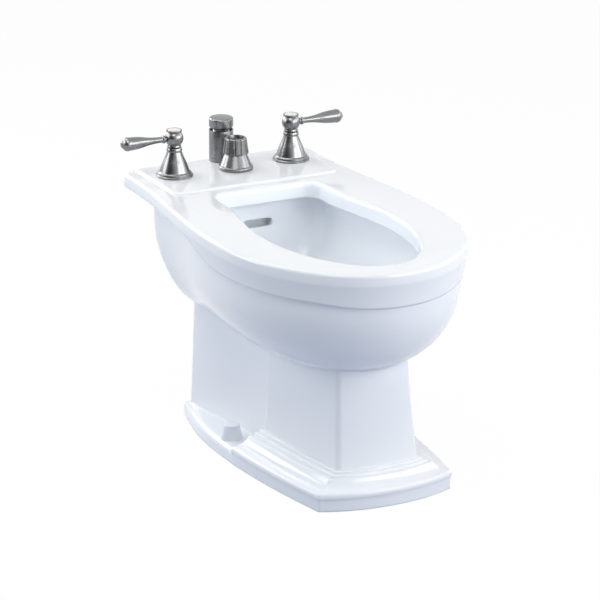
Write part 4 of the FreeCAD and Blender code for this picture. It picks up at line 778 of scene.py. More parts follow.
def ledge_ring(z, inset=0.0):
    wide = LEDGE_HALF_WIDTH - inset
    rear = DECK_REAR_Y - RIM_TOP_TAPER - LEDGE_REAR_INSET - inset
    front = LEDGE_FRONT_Y + inset
    bite = LEDGE_CORNER * (1 - ROUND_SHARE)
    return ring(z, [
        ([(0, rear), (wide, rear)], STEPS_STRAIGHT),
        ([(wide, rear), (wide, front + LEDGE_CORNER)], STEPS_STRAIGHT),
        ([(wide, front + LEDGE_CORNER), (wide, front + bite), (wide - bite, front),
          (wide - LEDGE_CORNER, front)], STEPS_CORNER),
        ([(wide - LEDGE_CORNER, front), (0, front)], STEPS_STRAIGHT),
    ])


def faucet_ledge():
    levels = [(0.0, RIM_TOP_Z - RIM_EDGE_ROUND)] + round_over(LEDGE_EDGE_ROUND, LEDGE_HEIGHT)
    return loft("ledge", [ledge_ring(z, i) for i, z in levels])


def pedestal_ring(z):
    rise = 1 - z / PEDESTAL_TOP_Z
    rear = PEDESTAL_REAR_HALF_WIDTH + PEDESTAL_REAR_FOOT_FLARE * rise
    waist = PEDESTAL_WAIST_HALF_WIDTH + PEDESTAL_FOOT_FLARE * rise
    ease = (HULL_BOTTOM_REAR_Y - PEDESTAL_FRONT_Y) * SIDE_EASE_SHARE
    back = HULL_BOTTOM_REAR_Y
    return ring(z, [
        ([(0, back), (rear, back)], STEPS_STRAIGHT),
        ([(rear, back), (rear, back - ease / 2), (waist, PEDESTAL_FRONT_Y + ease),
          (waist, PEDESTAL_FRONT_Y)], STEPS_SIDE),
        ([(waist, PEDESTAL_FRONT_Y), (0, PEDESTAL_FRONT_Y)], STEPS_STRAIGHT),
    ])


def bowed_ring(z, front, front_y, rear, rear_y, bow, corner, side_bow=0.0):
    """Tapering sides that may bow out, small round corners and a bowed front."""
    way = Vector((front - rear, front_y - rear_y)).normalized()
    side_end = (front - way.x * corner, front_y - way.y * corner)
    middle = ((rear + side_end[0]) / 2 - way.y * side_bow,
              (rear_y + side_end[1]) / 2 + way.x * side_bow)
    front_end = (front - corner, front_y - bow * corner / front)
    tip = front_y - bow
    return ring(z, [
        ([(0, rear_y), (rear, rear_y)], STEPS_STRAIGHT),
        ([(rear, rear_y), middle, side_end], STEPS_SIDE),
        ([side_end, (front, front_y), front_end], STEPS_CORNER),
        ([front_end, (front_end[0] * ROUND_SHARE, tip), (0, tip)], STEPS_SIDE),
    ])


def column_ring(z, share):
    """Share 0 is the column's top and 1 is its foot; the flare gathers towards the foot."""
    s = share ** 2
    return bowed_ring(z, blend(COLUMN_TOP_HALF_WIDTH, COLUMN_FOOT_HALF_WIDTH, s),
                      blend(COLUMN_TOP_FRONT_Y, COLUMN_FOOT_FRONT_Y, s),
                      blend(COLUMN_TOP_REAR_HALF_WIDTH, COLUMN_FOOT_REAR_HALF_WIDTH, s),
                      COLUMN_REAR_Y, COLUMN_BOW, COLUMN_EDGE_ROUND)


def column():
    shares = [1 - i / COLUMN_BANDS for i in range(COLUMN_BANDS + 1)]
    rings = [column_ring(blend(COLUMN_TOP_Z, PLINTH_HEIGHT, q), q) for q in shares]
    return loft("column", [column_ring(0.0, 1.0)] + rings)


def pedestal():
    levels = [PEDESTAL_TOP_Z * i / PEDESTAL_BANDS for i in range(PEDESTAL_BANDS + 1)]
    return loft("pedestal", [pedestal_ring(z) for z in levels])


boolean(china, "UNION", [faucet_ledge(), pedestal(), column()])
print("with ledge, pedestal and column:", len(china.data.polygons), "faces")

# %% The stepped plinth and the foot ledge
PLINTH_FRONT_HALF_WIDTH = 113.0
PLINTH_FRONT_Y = -289.0
PLINTH_REAR_HALF_WIDTH = 141.0
PLINTH_BOW = 24.0
PLINTH_SIDE_BOW = 9.0
PLINTH_CORNER_ROUND = 5.0
PLINTH_END_BEHIND_COLUMN = 7.0
PLINTH_PROFILE_SHARES = (
    ((0.04, 0.0), (0.04, 0.36), (0.0, 0.4), (0.0, 0.51), (0.06, 0.58), (0.3, 0.62), (0.45, 0.69),
     (0.58, 0.86)),
    ((0.72, 0.0), (0.72, 0.93)),
    ((0.88, 0.0), (0.88, 1.0)),
)
PLINTH_SOFTENING = 4
PLINTH_LIP = 1.2
PLINTH_LIP_STEPS = 4
PLINTH_SHARE_PER_MM = 1 / 40.0
FOOT_HEIGHT = 23.0
FOOT_HALF_WIDTH = 138.6
FOOT_REAR_HALF_WIDTH = 108.0
FOOT_REAR_Y = 190.0
FOOT_EDGE_ROUND = 9.0


def plinth_ring(z, share):
    return bowed_ring(z, blend(PLINTH_FRONT_HALF_WIDTH, COLUMN_FOOT_HALF_WIDTH, share),
                      blend(PLINTH_FRONT_Y, COLUMN_FOOT_FRONT_Y, share),
                      blend(PLINTH_REAR_HALF_WIDTH, COLUMN_FOOT_REAR_HALF_WIDTH, share),
                      COLUMN_REAR_Y + PLINTH_END_BEHIND_COLUMN,
                      blend(PLINTH_BOW, COLUMN_BOW, share), PLINTH_CORNER_ROUND,
                      blend(PLINTH_SIDE_BOW, 0.0, share))


def softened(points, rounds):
    """Corners of an open profile cut again and again, which turns them into curves."""
    for _ in range(rounds):
        cut = [points[0]]
        for (ax, ay), (bx, by) in zip(points, points[1:]):
            cut += [(0.75 * ax + 0.25 * bx, 0.75 * ay + 0.25 * by),
                    (0.25 * ax + 0.75 * bx, 0.25 * ay + 0.75 * by)]
        points = cut + [points[-1]]
    return points


def plinth():
    stacks = []
    for number, stack in enumerate(PLINTH_PROFILE_SHARES):
        if len(stack) == 2:
            share, top_z = stack[0][0], stack[1][1] * PLINTH_HEIGHT
            rings = [plinth_ring(0, share)]
            rings += [plinth_ring(z, share + i * PLINTH_SHARE_PER_MM)
                      for i, z in round_over(PLINTH_LIP, top_z, PLINTH_LIP_STEPS)]
        else:
            rings = [plinth_ring(h * PLINTH_HEIGHT, s)
                     for s, h in softened(list(stack), PLINTH_SOFTENING)]
        stacks.append(loft("plinth_%d" % number, rings))
    return stacks


def foot_ring(z, inset=0.0):
    front = COLUMN_REAR_Y - LAP
    rear = FOOT_REAR_Y - inset
    ease = (rear - front) * SIDE_EASE_SHARE
    wide, back = FOOT_HALF_WIDTH - inset, FOOT_REAR_HALF_WIDTH - inset
    return ring(z, [
        ([(0, rear), (back, rear)], STEPS_STRAIGHT),
        ([(back, rear), (wide, rear - ease), (wide, front + ease), (wide, front)], STEPS_SIDE),
        ([(wide, front), (0, front)], STEPS_STRAIGHT),
    ])


foot_levels = [(0.0, 0.0)] + round_over(FOOT_EDGE_ROUND, FOOT_HEIGHT)
boolean(china, "UNION", plinth() + [loft("foot", [foot_ring(z, i) for i, z in foot_levels])])
print("with plinth and foot:", len(china.data.polygons), "faces")

# %% The hollow of the casting, open underneath and behind


def block(name, low, high):
    """A box from its two corners."""
    points = [(x, y, z) for x in (low[0], high[0]) for y in (low[1], high[1])
              for z in (low[2], high[2])]
    faces = [(0, 1, 3, 2), (4, 6, 7, 5), (0, 4, 5, 1), (2, 3, 7, 6), (0, 2, 6, 4), (1, 5, 7, 3)]
    return mesh_object(name, points, faces)


def upright_hollow(name, half, low, high):
    """A hollow with straight upright sides from the corners of its right half."""
    corners = half + [(-x, y) for x, y in reversed(half)]
    level = np.array(corners, float)
    rings = [np.column_stack([level, np.full(len(level), z)]) for z in (low, high)]
    return loft(name, rings)


def cavity():
    far = DECK_REAR_Y - HULL_TOP_REAR_Y + OVERRUN
    shares = bowl_shares(INNER_BANDS)
    belly = [hull_ring(q, SHELL_WALL, SHELL_FRONT_WALL, far) for q in shares]
    belly.append(lifted(belly[-1], RIM_TOP_Z - SLAB_DEPTH))
    low, high = RIM_TOP_Z - SLAB_DEPTH - LAP, RIM_TOP_Z - DECK_THICKNESS
    attic = [rim_ring(low, SHELL_WALL), rim_ring(high, SHELL_WALL)]
    gate_half = DECK_HALF_WIDTH - 2 * SHELL_WALL
    back = PEDESTAL_REAR_HALF_WIDTH - SHELL_WALL
    skirt = [(back, FOOT_REAR_Y + OVERRUN), (back, HULL_BOTTOM_REAR_Y),
             (PEDESTAL_WAIST_HALF_WIDTH - SHELL_WALL, PEDESTAL_FRONT_Y)]
    panel = [(COLUMN_TOP_REAR_HALF_WIDTH - SHELL_WALL, COLUMN_REAR_Y),
             (COLUMN_TOP_HALF_WIDTH - SHELL_WALL, COLUMN_TOP_FRONT_Y + SHELL_WALL)]
    return [
        loft("belly", belly), loft("attic", attic),
        block("gate", (-gate_half, HULL_TOP_REAR_Y, low), (gate_half, DECK_REAR_Y + OVERRUN, high)),
        upright_hollow("skirt", skirt, -OVERRUN, PEDESTAL_TOP_Z),
        upright_hollow("panel", panel, -OVERRUN, PEDESTAL_TOP_Z),
    ]


boolean(china, "DIFFERENCE", cavity())
print("hollowed:", len(china.data.polygons), "faces")

# %% The bowl's inside, its overflow and the holes
CURTAIN_DEPTH = 26.0
CURTAIN_WALL = 9.0
CHANNEL_WIDTH = 13.0
CHANNEL_FRONT_WIDTH = 5.0
BOWL_FLOOR_Z = 236.0
BOWL_FLOOR_HALF_WIDTH = 46.0
BOWL_FLOOR_TIP_Y = -150.0
BOWL_FLOOR_REAR_HALF_WIDTH = 42.0
BOWL_FLOOR_REAR_Y = 110.0
BOWL_WALL = 11.0
BOWL_BANDS = 22
OVERFLOW_Z = 313.0
OVERFLOW_SLOT_WIDTH = 50.0
OVERFLOW_SLOT_HEIGHT = 13.0
OVERFLOW_SKIN = 9.0
OVERFLOW_DEPTH = 12.0
OVERFLOW_SHARES = (0.67, 0.4, 0.15, 0.0)
DRAIN_Y = 75.0
DRAIN_HOLE_RADIUS = 23.0
DRAIN_BOSS_RADIUS = 36.0
DRAIN_SEAT_Z = 206.0
SPRAY_Y = -35.0
SPRAY_HOLE_RADIUS = 10.5
RIM_INLET_Z = 358.0
RIM_INLET_RADIUS = 5.3
RIM_INLET_REACH = 41.0
FLOOR_BOLT_SPACING = 232.0
FLOOR_BOLT_HOLE = 13.0
DECK_HOLE_RADIUS = 16.0
HANDLE_SPACING = 203.2
HANDLE_Y = 231.0
BREAKER_Y = 274.4
DIVERTER_Y = 221.5
HOLE_STEPS = 48


def bowl_ring(share, wall=0.0):
    s = swell(share, HULL_FULLNESS)
    z = blend(BOWL_FLOOR_Z, RIM_TOP_Z - CURTAIN_DEPTH, share) - wall * (1 - share)
    side = CURTAIN_WALL + CHANNEL_WIDTH
    return egg(z, blend(BOWL_FLOOR_HALF_WIDTH, OPEN_HALF_WIDTH + side, s) + wall, RIM_WIDEST_Y,
               blend(BOWL_FLOOR_TIP_Y, OPEN_TIP_Y - CURTAIN_WALL - CHANNEL_FRONT_WIDTH, s) - wall,
               blend(BOWL_FLOOR_REAR_HALF_WIDTH, OPEN_REAR_HALF_WIDTH + side, s) + wall,
               blend(BOWL_FLOOR_REAR_Y, OPEN_REAR_Y + side, s) + wall, OPEN_CORNER + wall)


def bowl_solid(name, bands, wall, z_top):
    rings = [bowl_ring(q, wall) for q in bowl_shares(bands)]
    return loft(name, rings + [lifted(rings[-1], z_top)])


def overflow_duct(name, skin_near, skin_far, half_width, lap):
    """A passage behind the bowl's rear wall and under its floor, as far as the drain."""
    near, far = [], []
    for q in OVERFLOW_SHARES:
        s = swell(q, HULL_FULLNESS)
        y = blend(BOWL_FLOOR_REAR_Y, OPEN_REAR_Y + CURTAIN_WALL + CHANNEL_WIDTH, s)
        z = blend(BOWL_FLOOR_Z, RIM_TOP_Z - CURTAIN_DEPTH, q)
        near.append((y + skin_near * s, z - skin_near * (1 - s)))
        far.append((y + skin_far * s, z - skin_far * (1 - s)))
    top = OVERFLOW_Z + OVERFLOW_SLOT_HEIGHT / 2 + lap
    floor = [(DRAIN_Y, BOWL_FLOOR_Z - skin_near), (DRAIN_Y, BOWL_FLOOR_Z - skin_far)]
    outline = [(near[0][0], top)] + near + floor + far[::-1] + [(far[0][0], top)]
    return extruded(name, outline, -half_width, half_width)


def rod(name, radius, start, end, steps=HOLE_STEPS):
    """A round bar from start to end, used to make holes."""
    a, b = Vector(start), Vector(end)
    way = (b - a).normalized()
    side = way.orthogonal().normalized()
    other = way.cross(side)
    turns = [2 * math.pi * i / steps for i in range(steps)]
    circle = [side * (radius * math.cos(t)) + other * (radius * math.sin(t)) for t in turns]
    return loft(name, [np.array([tuple(spot + c) for c in circle]) for spot in (a, b)])


def overflow_slot():
    """The round-ended slot high in the bowl's rear wall."""
    r = OVERFLOW_SLOT_HEIGHT / 2
    reach = OVERFLOW_SLOT_WIDTH / 2 - r
    y, deep = OPEN_REAR_Y, CURTAIN_WALL + CHANNEL_WIDTH + OVERFLOW_SKIN + OVERFLOW_DEPTH / 2
    turns = [math.pi * i / STEPS_HALF_TURN for i in range(STEPS_HALF_TURN + 1)]
    half = [(reach + r * math.sin(t), OVERFLOW_Z + r * math.cos(t)) for t in turns]
    outline = half + [(-x, z) for x, z in reversed(half)]
    rings = [np.array([(x, y + d, z) for x, z in outline]) for d in (0.0, deep)]
    return loft("overflow_slot", rings)


plate_z = RIM_TOP_Z - DECK_THICKNESS
duct = overflow_duct("duct", BOWL_WALL - OVERRUN, 2 * OVERFLOW_SKIN + OVERFLOW_DEPTH,
                     OVERFLOW_SLOT_WIDTH / 2 + OVERFLOW_SKIN, OVERFLOW_SKIN)
boss = rod("boss", DRAIN_BOSS_RADIUS, (0, DRAIN_Y, DRAIN_SEAT_Z), (0, DRAIN_Y, BOWL_FLOOR_Z))
boolean(china, "UNION", [bowl_solid("bowl_shell", INNER_BANDS, BOWL_WALL, plate_z + LAP), duct, boss])
curtain_rings = [open_ring(z, CURTAIN_WALL) for z in (RIM_TOP_Z - CURTAIN_DEPTH, RIM_TOP_Z)]
inside = boolean(bowl_solid("bowl_inside", BOWL_BANDS, 0.0, plate_z), "DIFFERENCE",
                 [loft("curtain", curtain_rings)])
throat = loft("throat", [open_ring(z) for z in (RIM_TOP_Z - CURTAIN_DEPTH - OVERRUN, RIM_TOP_Z)])
passage = overflow_duct("passage", OVERFLOW_SKIN, OVERFLOW_SKIN + OVERFLOW_DEPTH,
                        OVERFLOW_SLOT_WIDTH / 2, 0.0)


def upright_hole(name, radius, x, y, low, high):
    """A round hole from a little under low to a little over high."""
    return rod(name, radius, (x, y, low - OVERRUN), (x, y, high + OVERRUN))


HANDLE_X = HANDLE_SPACING / 2
holes = [upright_hole("deck_hole", DECK_HOLE_RADIUS, x, y, plate_z, LEDGE_HEIGHT)
         for x, y in ((-HANDLE_X, HANDLE_Y), (HANDLE_X, HANDLE_Y), (0, BREAKER_Y), (0, DIVERTER_Y))]
holes += [upright_hole("bolt_hole", FLOOR_BOLT_HOLE / 2, s * FLOOR_BOLT_SPACING / 2, 0, 0, FOOT_HEIGHT)
          for s in (-1, 1)]
holes += [upright_hole(name, radius, 0, y, DRAIN_SEAT_Z, BOWL_FLOOR_Z)
          for name, radius, y in (("drain_hole", DRAIN_HOLE_RADIUS, DRAIN_Y),
                                  ("spray_hole", SPRAY_HOLE_RADIUS, SPRAY_Y))]
holes.append(rod("rim_inlet", RIM_INLET_RADIUS, (0, OPEN_REAR_Y + CURTAIN_WALL + OVERRUN, RIM_INLET_Z),
                 (0, OPEN_REAR_Y + RIM_INLET_REACH, RIM_INLET_Z)))
boolean(china, "DIFFERENCE", [inside, throat, passage, overflow_slot()] + holes)
print("bored:", len(china.data.polygons), "faces")

# %% The casting as one piece
china.name = "china_casting"
smooth(china, CASTING_CREASE)
finish_piece(china, ["china_body"], CHINA)

# %% [markdown]
# ## Turned metal
#
# Escutcheons, hubs, levers, caps and knobs are turned on a lathe, so each one is a profile
# spun round its axis. A run of the profile may bow outwards or inwards as an arc. A narrow
# bevel takes the sharpness off each edge, as buffing does, and catches the light.

# %% The lathe
TURN_STEPS = 96
ARC_STEPS = 14
EDGE_BREAK = 0.35
EDGE_BREAK_STEPS = 2
EDGE_BREAK_ANGLE = 25


def bowed_profile(points):
    """Profile points (radius, height); a third value bows the run that arrives there."""
    dense = [tuple(points[0][:2])]
    for before, point in zip(points, points[1:]):
        start, end = Vector(before[:2]), Vector(point[:2])
        if len(point) == 3:
            chord, bulge = end - start, point[2]
            along = chord.normalized()
            right = Vector((along.y, -along.x)) * math.copysign(1, bulge)
            half_turn = 2 * math.atan2(2 * abs(bulge), chord.length)
            radius = chord.length / 2 / math.sin(half_turn)
            centre = (start + end) / 2 + right * (abs(bulge) - radius)
            for i in range(1, ARC_STEPS):
                turn = half_turn * (2 * i / ARC_STEPS - 1)
                spot = centre + right * radius * math.cos(turn) + along * radius * math.sin(turn)
                dense.append((spot.x, spot.y))
        dense.append((end.x, end.y))
    return dense


def dome_swell(radius, rise):
    """The bow of the arc that takes a dome from its edge to its top."""
    ball = (radius ** 2 + rise ** 2) / (2 * rise)
    return ball - math.sqrt(ball ** 2 - (radius ** 2 + rise ** 2) / 4)


def lathe(name, points, origin, axis=(0, 0, 1), edge=EDGE_BREAK, closed=False, turns=TURN_STEPS):
    """Spins the profile round the axis through origin; heights run along the axis."""
    profile = bowed_profile(list(points) + ([points[0][:2]] if closed else []))
    if closed:
        profile = profile[:-1]
    axis = Vector(axis)
    side = axis.orthogonal().normalized()
    other = axis.cross(side)
    angles = [2 * math.pi * i / turns for i in range(turns)]
    shape = bmesh.new()
    travel = shape.verts.layers.float.new("along_profile")
    rings, distance, last = [], 0.0, profile[0]
    for r, h in profile:
        distance += math.dist(last, (r, h))
        last = (r, h)
        spots = [Vector(origin) + axis * h]
        if r > 0:
            spots = [spots[0] + side * (r * math.cos(t)) + other * (r * math.sin(t)) for t in angles]
        row = [shape.verts.new(spot * MM) for spot in spots]
        for vert in row:
            vert[travel] = distance
        rings.append(row)
    pairs = list(zip(rings, rings[1:])) + ([(rings[-1], rings[0])] if closed else [])
    for low, high in pairs:
        for i in range(turns):
            j = (i + 1) % turns
            corners = [low[i % len(low)], low[j % len(low)], high[j % len(high)], high[i % len(high)]]
            kept = [v for n, v in enumerate(corners) if v not in corners[:n]]
            if len(kept) > 2:
                shape.faces.new(kept)
    bmesh.ops.recalc_face_normals(shape, faces=shape.faces)
    mesh = bpy.data.meshes.new(name)
    shape.to_mesh(mesh)
    shape.free()
    piece = linked(name, mesh)
    if edge:
        step = piece.modifiers.new("edge_break", "BEVEL")
        step.width = edge * MM
        step.segments = EDGE_BREAK_STEPS
        step.limit_method = "ANGLE"
        step.angle_limit = math.radians(EDGE_BREAK_ANGLE)
        bake(piece)
    smooth(piece)
    return piece


# %% [markdown]
# ### The two handles
#
# Each handle is a stepped bell, a ball with a ring on top, a porcelain button, and a lever
# that swells like a baluster. Both are made by one loop, and the lever points outwards.

# %% Bell, hub, button and lever
BELL_PROFILE = [
    (21.2, 0.0), (29.2, 0.0), (29.2, 2.4), (26.4, 3.4), (26.4, 6.1), (23.8, 7.5), (17.9, 23.6, 0.2),
    (11.4, 40.0, -0.3), (12.6, 41.2), (11.4, 45.6), (8.4, 45.6), (8.4, 40.0), (21.2, 7.5),
]
HUB_GAP = 46.6
HUB_CENTRE = 60.5
HUB_RADIUS = 14.4
HUB_WAIST = 10.0
hub_drop = math.sqrt(HUB_RADIUS ** 2 - HUB_WAIST ** 2)
HUB_PROFILE = [
    (0.0, HUB_GAP), (10.2, HUB_GAP), (11.2, HUB_GAP + 1.0), (HUB_WAIST, HUB_CENTRE - hub_drop),
    (HUB_WAIST, HUB_CENTRE + hub_drop, HUB_RADIUS - HUB_WAIST), (12.3, 71.4), (12.3, 74.0),
    (10.6, 74.0), (10.6, 71.8), (0.0, 71.8),
]
BUTTON_PROFILE = [(0.0, 71.8), (10.5, 71.8), (10.5, 73.8), (0.0, 75.0, dome_swell(10.5, 1.2))]
LEVER_PROFILE = [
    (0.0, 9.0), (4.0, 9.0), (4.0, 13.8), (4.6, 13.8), (4.6, 16.0), (4.6, 21.0, 1.8), (4.6, 22.5),
    (7.4, 50.0, -0.73), (10.4, 77.0, 0.73), (5.2, 87.6, 2.6), (5.2, 88.8), (4.2, 90.0), (0.0, 90.0),
]


def handle(name, side):
    """The visible pieces of one handle."""
    foot = (side * HANDLE_X, HANDLE_Y, LEDGE_HEIGHT)
    centre = (foot[0], foot[1], LEDGE_HEIGHT + HUB_CENTRE)
    bell = lathe(name + "_bell", BELL_PROFILE, foot, closed=True)
    finish_piece(bell, [name + "_escutcheon"], SATIN_NICKEL)
    finish_piece(lathe(name + "_hub", HUB_PROFILE, foot), [name + "_handle_hub"], SATIN_NICKEL)
    finish_piece(lathe(name + "_button", BUTTON_PROFILE, foot), [name + "_index_button"], PORCELAIN)
    lever = lathe(name + "_baluster", LEVER_PROFILE, centre, (side, 0, 0))
    finish_piece(lever, [name + "_lever"], SATIN_NICKEL)


handle("hot", -1)
handle("cold", 1)

# %% [markdown]
# ### Vacuum breaker and diverter
#
# The breaker is a plain tall sleeve with a flat bevelled cap held a little above it. The
# diverter's knob is a cone with twelve round grooves. Its plain form comes off the lathe,
# and a Geometry Nodes tree presses the grooves in, because they follow one rule.

# %% Breaker
BREAKER_RADIUS = 19.3
SLEEVE_WALL = 1.4
SLEEVE_HEIGHT = 51.0
CAP_LOW = 55.0
CAP_HIGH = 70.5
CAP_BEVEL = 1.6
POSTS = 4
POST_RADIUS = 1.4
POST_LAP = 0.5
POST_CIRCLE = 11.0


def joined(piece, others):
    """One object from several that touch."""
    with bpy.context.temp_override(active_object=piece, selected_editable_objects=[piece] + others):
        bpy.ops.object.join()
    return piece


def breaker():
    foot = (0, BREAKER_Y, LEDGE_HEIGHT)
    r, wall, bevel = BREAKER_RADIUS, SLEEVE_WALL, CAP_BEVEL
    sleeve = [(r - wall, 0.0), (r, 0.0), (r, SLEEVE_HEIGHT), (r - wall, SLEEVE_HEIGHT)]
    cap = [(0.0, CAP_LOW), (r - bevel, CAP_LOW), (r, CAP_LOW + bevel), (r, CAP_HIGH - bevel),
           (r - bevel, CAP_HIGH), (0.0, CAP_HIGH)]
    post = [(0.0, SLEEVE_HEIGHT), (POST_RADIUS, SLEEVE_HEIGHT), (POST_RADIUS, CAP_LOW + POST_LAP),
            (0.0, CAP_LOW + POST_LAP)]
    top = lathe("breaker_top", cap, foot)
    posts = []
    for i in range(POSTS):
        turn = 2 * math.pi * (i + 0.5) / POSTS
        spot = (POST_CIRCLE * math.cos(turn), BREAKER_Y + POST_CIRCLE * math.sin(turn), LEDGE_HEIGHT)
        posts.append(lathe("post", post, spot, edge=0))
    finish_piece(lathe("breaker_shell", sleeve, foot, closed=True), ["breaker_sleeve"], SATIN_NICKEL)
    finish_piece(joined(top, posts), ["breaker_cap"], SATIN_NICKEL)


breaker()

# %% Diverter collar and lift knob
COLLAR_PROFILE = [
    (22.0, 0.0), (27.0, 0.0), (27.0, 3.0), (24.4, 6.4, 1.2), (17.4, 25.5), (8.4, 25.5), (8.4, 23.1),
    (15.0, 23.1), (22.0, 6.4),
]
LIFT_SEAT = 40.4
LIFT_PROFILE = [(0.0, 0.0), (4.0, 0.0), (4.0, 3.0), (9.0, 6.0), (0.0, 9.0, dome_swell(9.0, 3.0))]


def diverter_trim():
    foot = (0, DIVERTER_Y, LEDGE_HEIGHT)
    collar = lathe("diverter_collar", COLLAR_PROFILE, foot, closed=True)
    finish_piece(collar, ["diverter_escutcheon"], SATIN_NICKEL)
    lift = lathe("lift_button", LIFT_PROFILE, (0, DIVERTER_Y, LEDGE_HEIGHT + LIFT_SEAT))
    # The lift button gets the near-black colour.
    finish_piece(lift, ["lift_knob"], NEAR_BLACK_METAL)


diverter_trim()

# %% The grooves of the diverter's knob, as a tree of nodes
KNOB_LOW = 26.5
KNOB_HIGH = 51.0
KNOB_EDGE_ROUND = 2.4
KNOB_WELL_DEPTH = 11.0
KNOB_TURN_STEPS = 288
KNOB_BOTTOM_RADIUS = 20.4
KNOB_TOP_RADIUS = 17.4
KNOB_BORE_RADIUS = 6.0
KNOB_WELL_RADIUS = 13.0
KNOB_SIDE_BANDS = 10
GROOVES = 12.0
GROOVE_RADIUS = 1.7


def math_node(tree, operation, one, other=None):
    """A sum of fields or numbers."""
    node = add(tree, "ShaderNodeMath", operation=operation)
    for place, part in enumerate((one, other)):
        if part is None:
            continue
        if isinstance(part, (int, float)):
            node.inputs[place].default_value = part
        else:
            tree.links.new(part, node.inputs[place])
    return node.outputs[0]


def new_tree(name, inputs):
    """A Geometry Nodes tree with named inputs; returns it with its input and output node."""
    tree = bpy.data.node_groups.new(name, "GeometryNodeTree")
    tree.interface.new_socket("Geometry", in_out="INPUT", socket_type="NodeSocketGeometry")
    for label, kind in inputs:
        tree.interface.new_socket(label, in_out="INPUT", socket_type=kind)
    tree.interface.new_socket("Geometry", in_out="OUTPUT", socket_type="NodeSocketGeometry")
    return tree, add(tree, "NodeGroupInput"), add(tree, "NodeGroupOutput")


def end_tree(tree, entry, leave, geometry):
    """Realize Instances and Set Material, then out."""
    real = add(tree, "GeometryNodeRealizeInstances", links={0: geometry})
    dress = add(tree, "GeometryNodeSetMaterial",
                links={"Geometry": real.outputs[0], "Material": entry.outputs["Finish"]})
    tree.links.new(dress.outputs[0], leave.inputs[0])


def hang_tree(piece, tree, values):
    """Puts the tree on the piece and sets its inputs."""
    step = piece.modifiers.new(tree.name, "NODES")
    step.node_group = tree
    names = {item.name: item.identifier for item in tree.interface.items_tree
             if item.in_out == "INPUT"}
    for label, value in values.items():
        step[names[label]] = value


def run_tree(piece, tree, values):
    """Runs the tree on the piece with its inputs set, and keeps the result as plain mesh."""
    hang_tree(piece, tree, values)
    return bake(piece)


def groove_tree():
    """Presses round grooves, evenly spaced, into the side of a cone about a vertical axis."""
    number = "NodeSocketFloat"
    tree, entry, leave = new_tree("round_grooves", [
        ("Grooves", number), ("Groove radius", number), ("Axis Y", number), ("Low Z", number),
        ("High Z", number), ("Low radius", number), ("High radius", number),
        ("Finish", "NodeSocketMaterial"),
    ])
    value = entry.outputs
    point = add(tree, "GeometryNodeInputPosition").outputs[0]
    place = add(tree, "ShaderNodeSeparateXYZ", links={0: point})
    x, z = place.outputs[0], place.outputs[2]
    y = math_node(tree, "SUBTRACT", place.outputs[1], value["Axis Y"])
    x_square, y_square = (math_node(tree, "MULTIPLY", c, c) for c in (x, y))
    radius = math_node(tree, "SQRT", math_node(tree, "ADD", x_square, y_square))
    angle = math_node(tree, "ARCTAN2", y, x)
    pitch = math_node(tree, "DIVIDE", 2 * math.pi, value["Grooves"])
    lane = math_node(tree, "ROUND", math_node(tree, "DIVIDE", angle, pitch))
    off = math_node(tree, "SUBTRACT", angle, math_node(tree, "MULTIPLY", lane, pitch))
    height = add(tree, "ShaderNodeMapRange", {"To Min": 0.0, "To Max": 1.0},
                 {"Value": z, "From Min": value["Low Z"], "From Max": value["High Z"]}).outputs[0]
    narrowing = math_node(tree, "SUBTRACT", value["High radius"], value["Low radius"])
    cone = math_node(tree, "ADD", value["Low radius"], math_node(tree, "MULTIPLY", height, narrowing))
    reach = math_node(tree, "MULTIPLY", off, cone)
    groove_square, reach_square = (math_node(tree, "MULTIPLY", c, c)
                                   for c in (value["Groove radius"], reach))
    depth_square = math_node(tree, "SUBTRACT", groove_square, reach_square)
    depth = math_node(tree, "SQRT", math_node(tree, "MAXIMUM", depth_square, 0.0))
    limit = math_node(tree, "SUBTRACT", cone, depth)
    inner = math_node(tree, "MINIMUM", radius, limit)
    share = math_node(tree, "DIVIDE", inner, math_node(tree, "MAXIMUM", radius, 1e-6))
    new_y = math_node(tree, "ADD", math_node(tree, "MULTIPLY", y, share), value["Axis Y"])
    spot = add(tree, "ShaderNodeCombineXYZ",
               links={0: math_node(tree, "MULTIPLY", x, share), 1: new_y, 2: z})
    moved = add(tree, "GeometryNodeSetPosition",
                links={"Geometry": value["Geometry"], "Position": spot.outputs[0]})
    end_tree(tree, entry, leave, moved.outputs[0])
    return tree


def fluted_knob():
    """The plain cone with its well comes off the lathe; the tree adds the grooves."""
    low, high, b, t = KNOB_LOW, KNOB_HIGH, KNOB_BOTTOM_RADIUS, KNOB_TOP_RADIUS
    edge, floor = KNOB_EDGE_ROUND, KNOB_HIGH - KNOB_WELL_DEPTH
    shares = [i / KNOB_SIDE_BANDS for i in range(KNOB_SIDE_BANDS + 1)]
    side = [(blend(b, t, q), blend(low, high - edge, q)) for q in shares]
    top = [(t - edge, high, edge * (1 - math.sqrt(0.5))), (KNOB_WELL_RADIUS, high)]
    well = [(KNOB_WELL_RADIUS, floor), (KNOB_BORE_RADIUS, floor)]
    knob = lathe("fluted_knob", [(KNOB_BORE_RADIUS, low)] + side + top + well,
                 (0, DIVERTER_Y, LEDGE_HEIGHT), closed=True, edge=0.25, turns=KNOB_TURN_STEPS)
    run_tree(knob, groove_tree(), {
        "Grooves": GROOVES, "Groove radius": GROOVE_RADIUS * MM, "Axis Y": DIVERTER_Y * MM,
        "Low Z": (LEDGE_HEIGHT + low) * MM, "High Z": (LEDGE_HEIGHT + high) * MM,
        "Low radius": b * MM, "High radius": t * MM, "Finish": SATIN_NICKEL,
    })
    smooth(knob, GROOVED_CREASE)
    finish_piece(knob, ["diverter_knob"], SATIN_NICKEL)


fluted_knob()

# %% [markdown]
# ## Copper tubes
#
# The water runs in copper tubes bent round a former, so every bend has the same radius.
# A tree rounds the corners of a route and sweeps a circle along it.

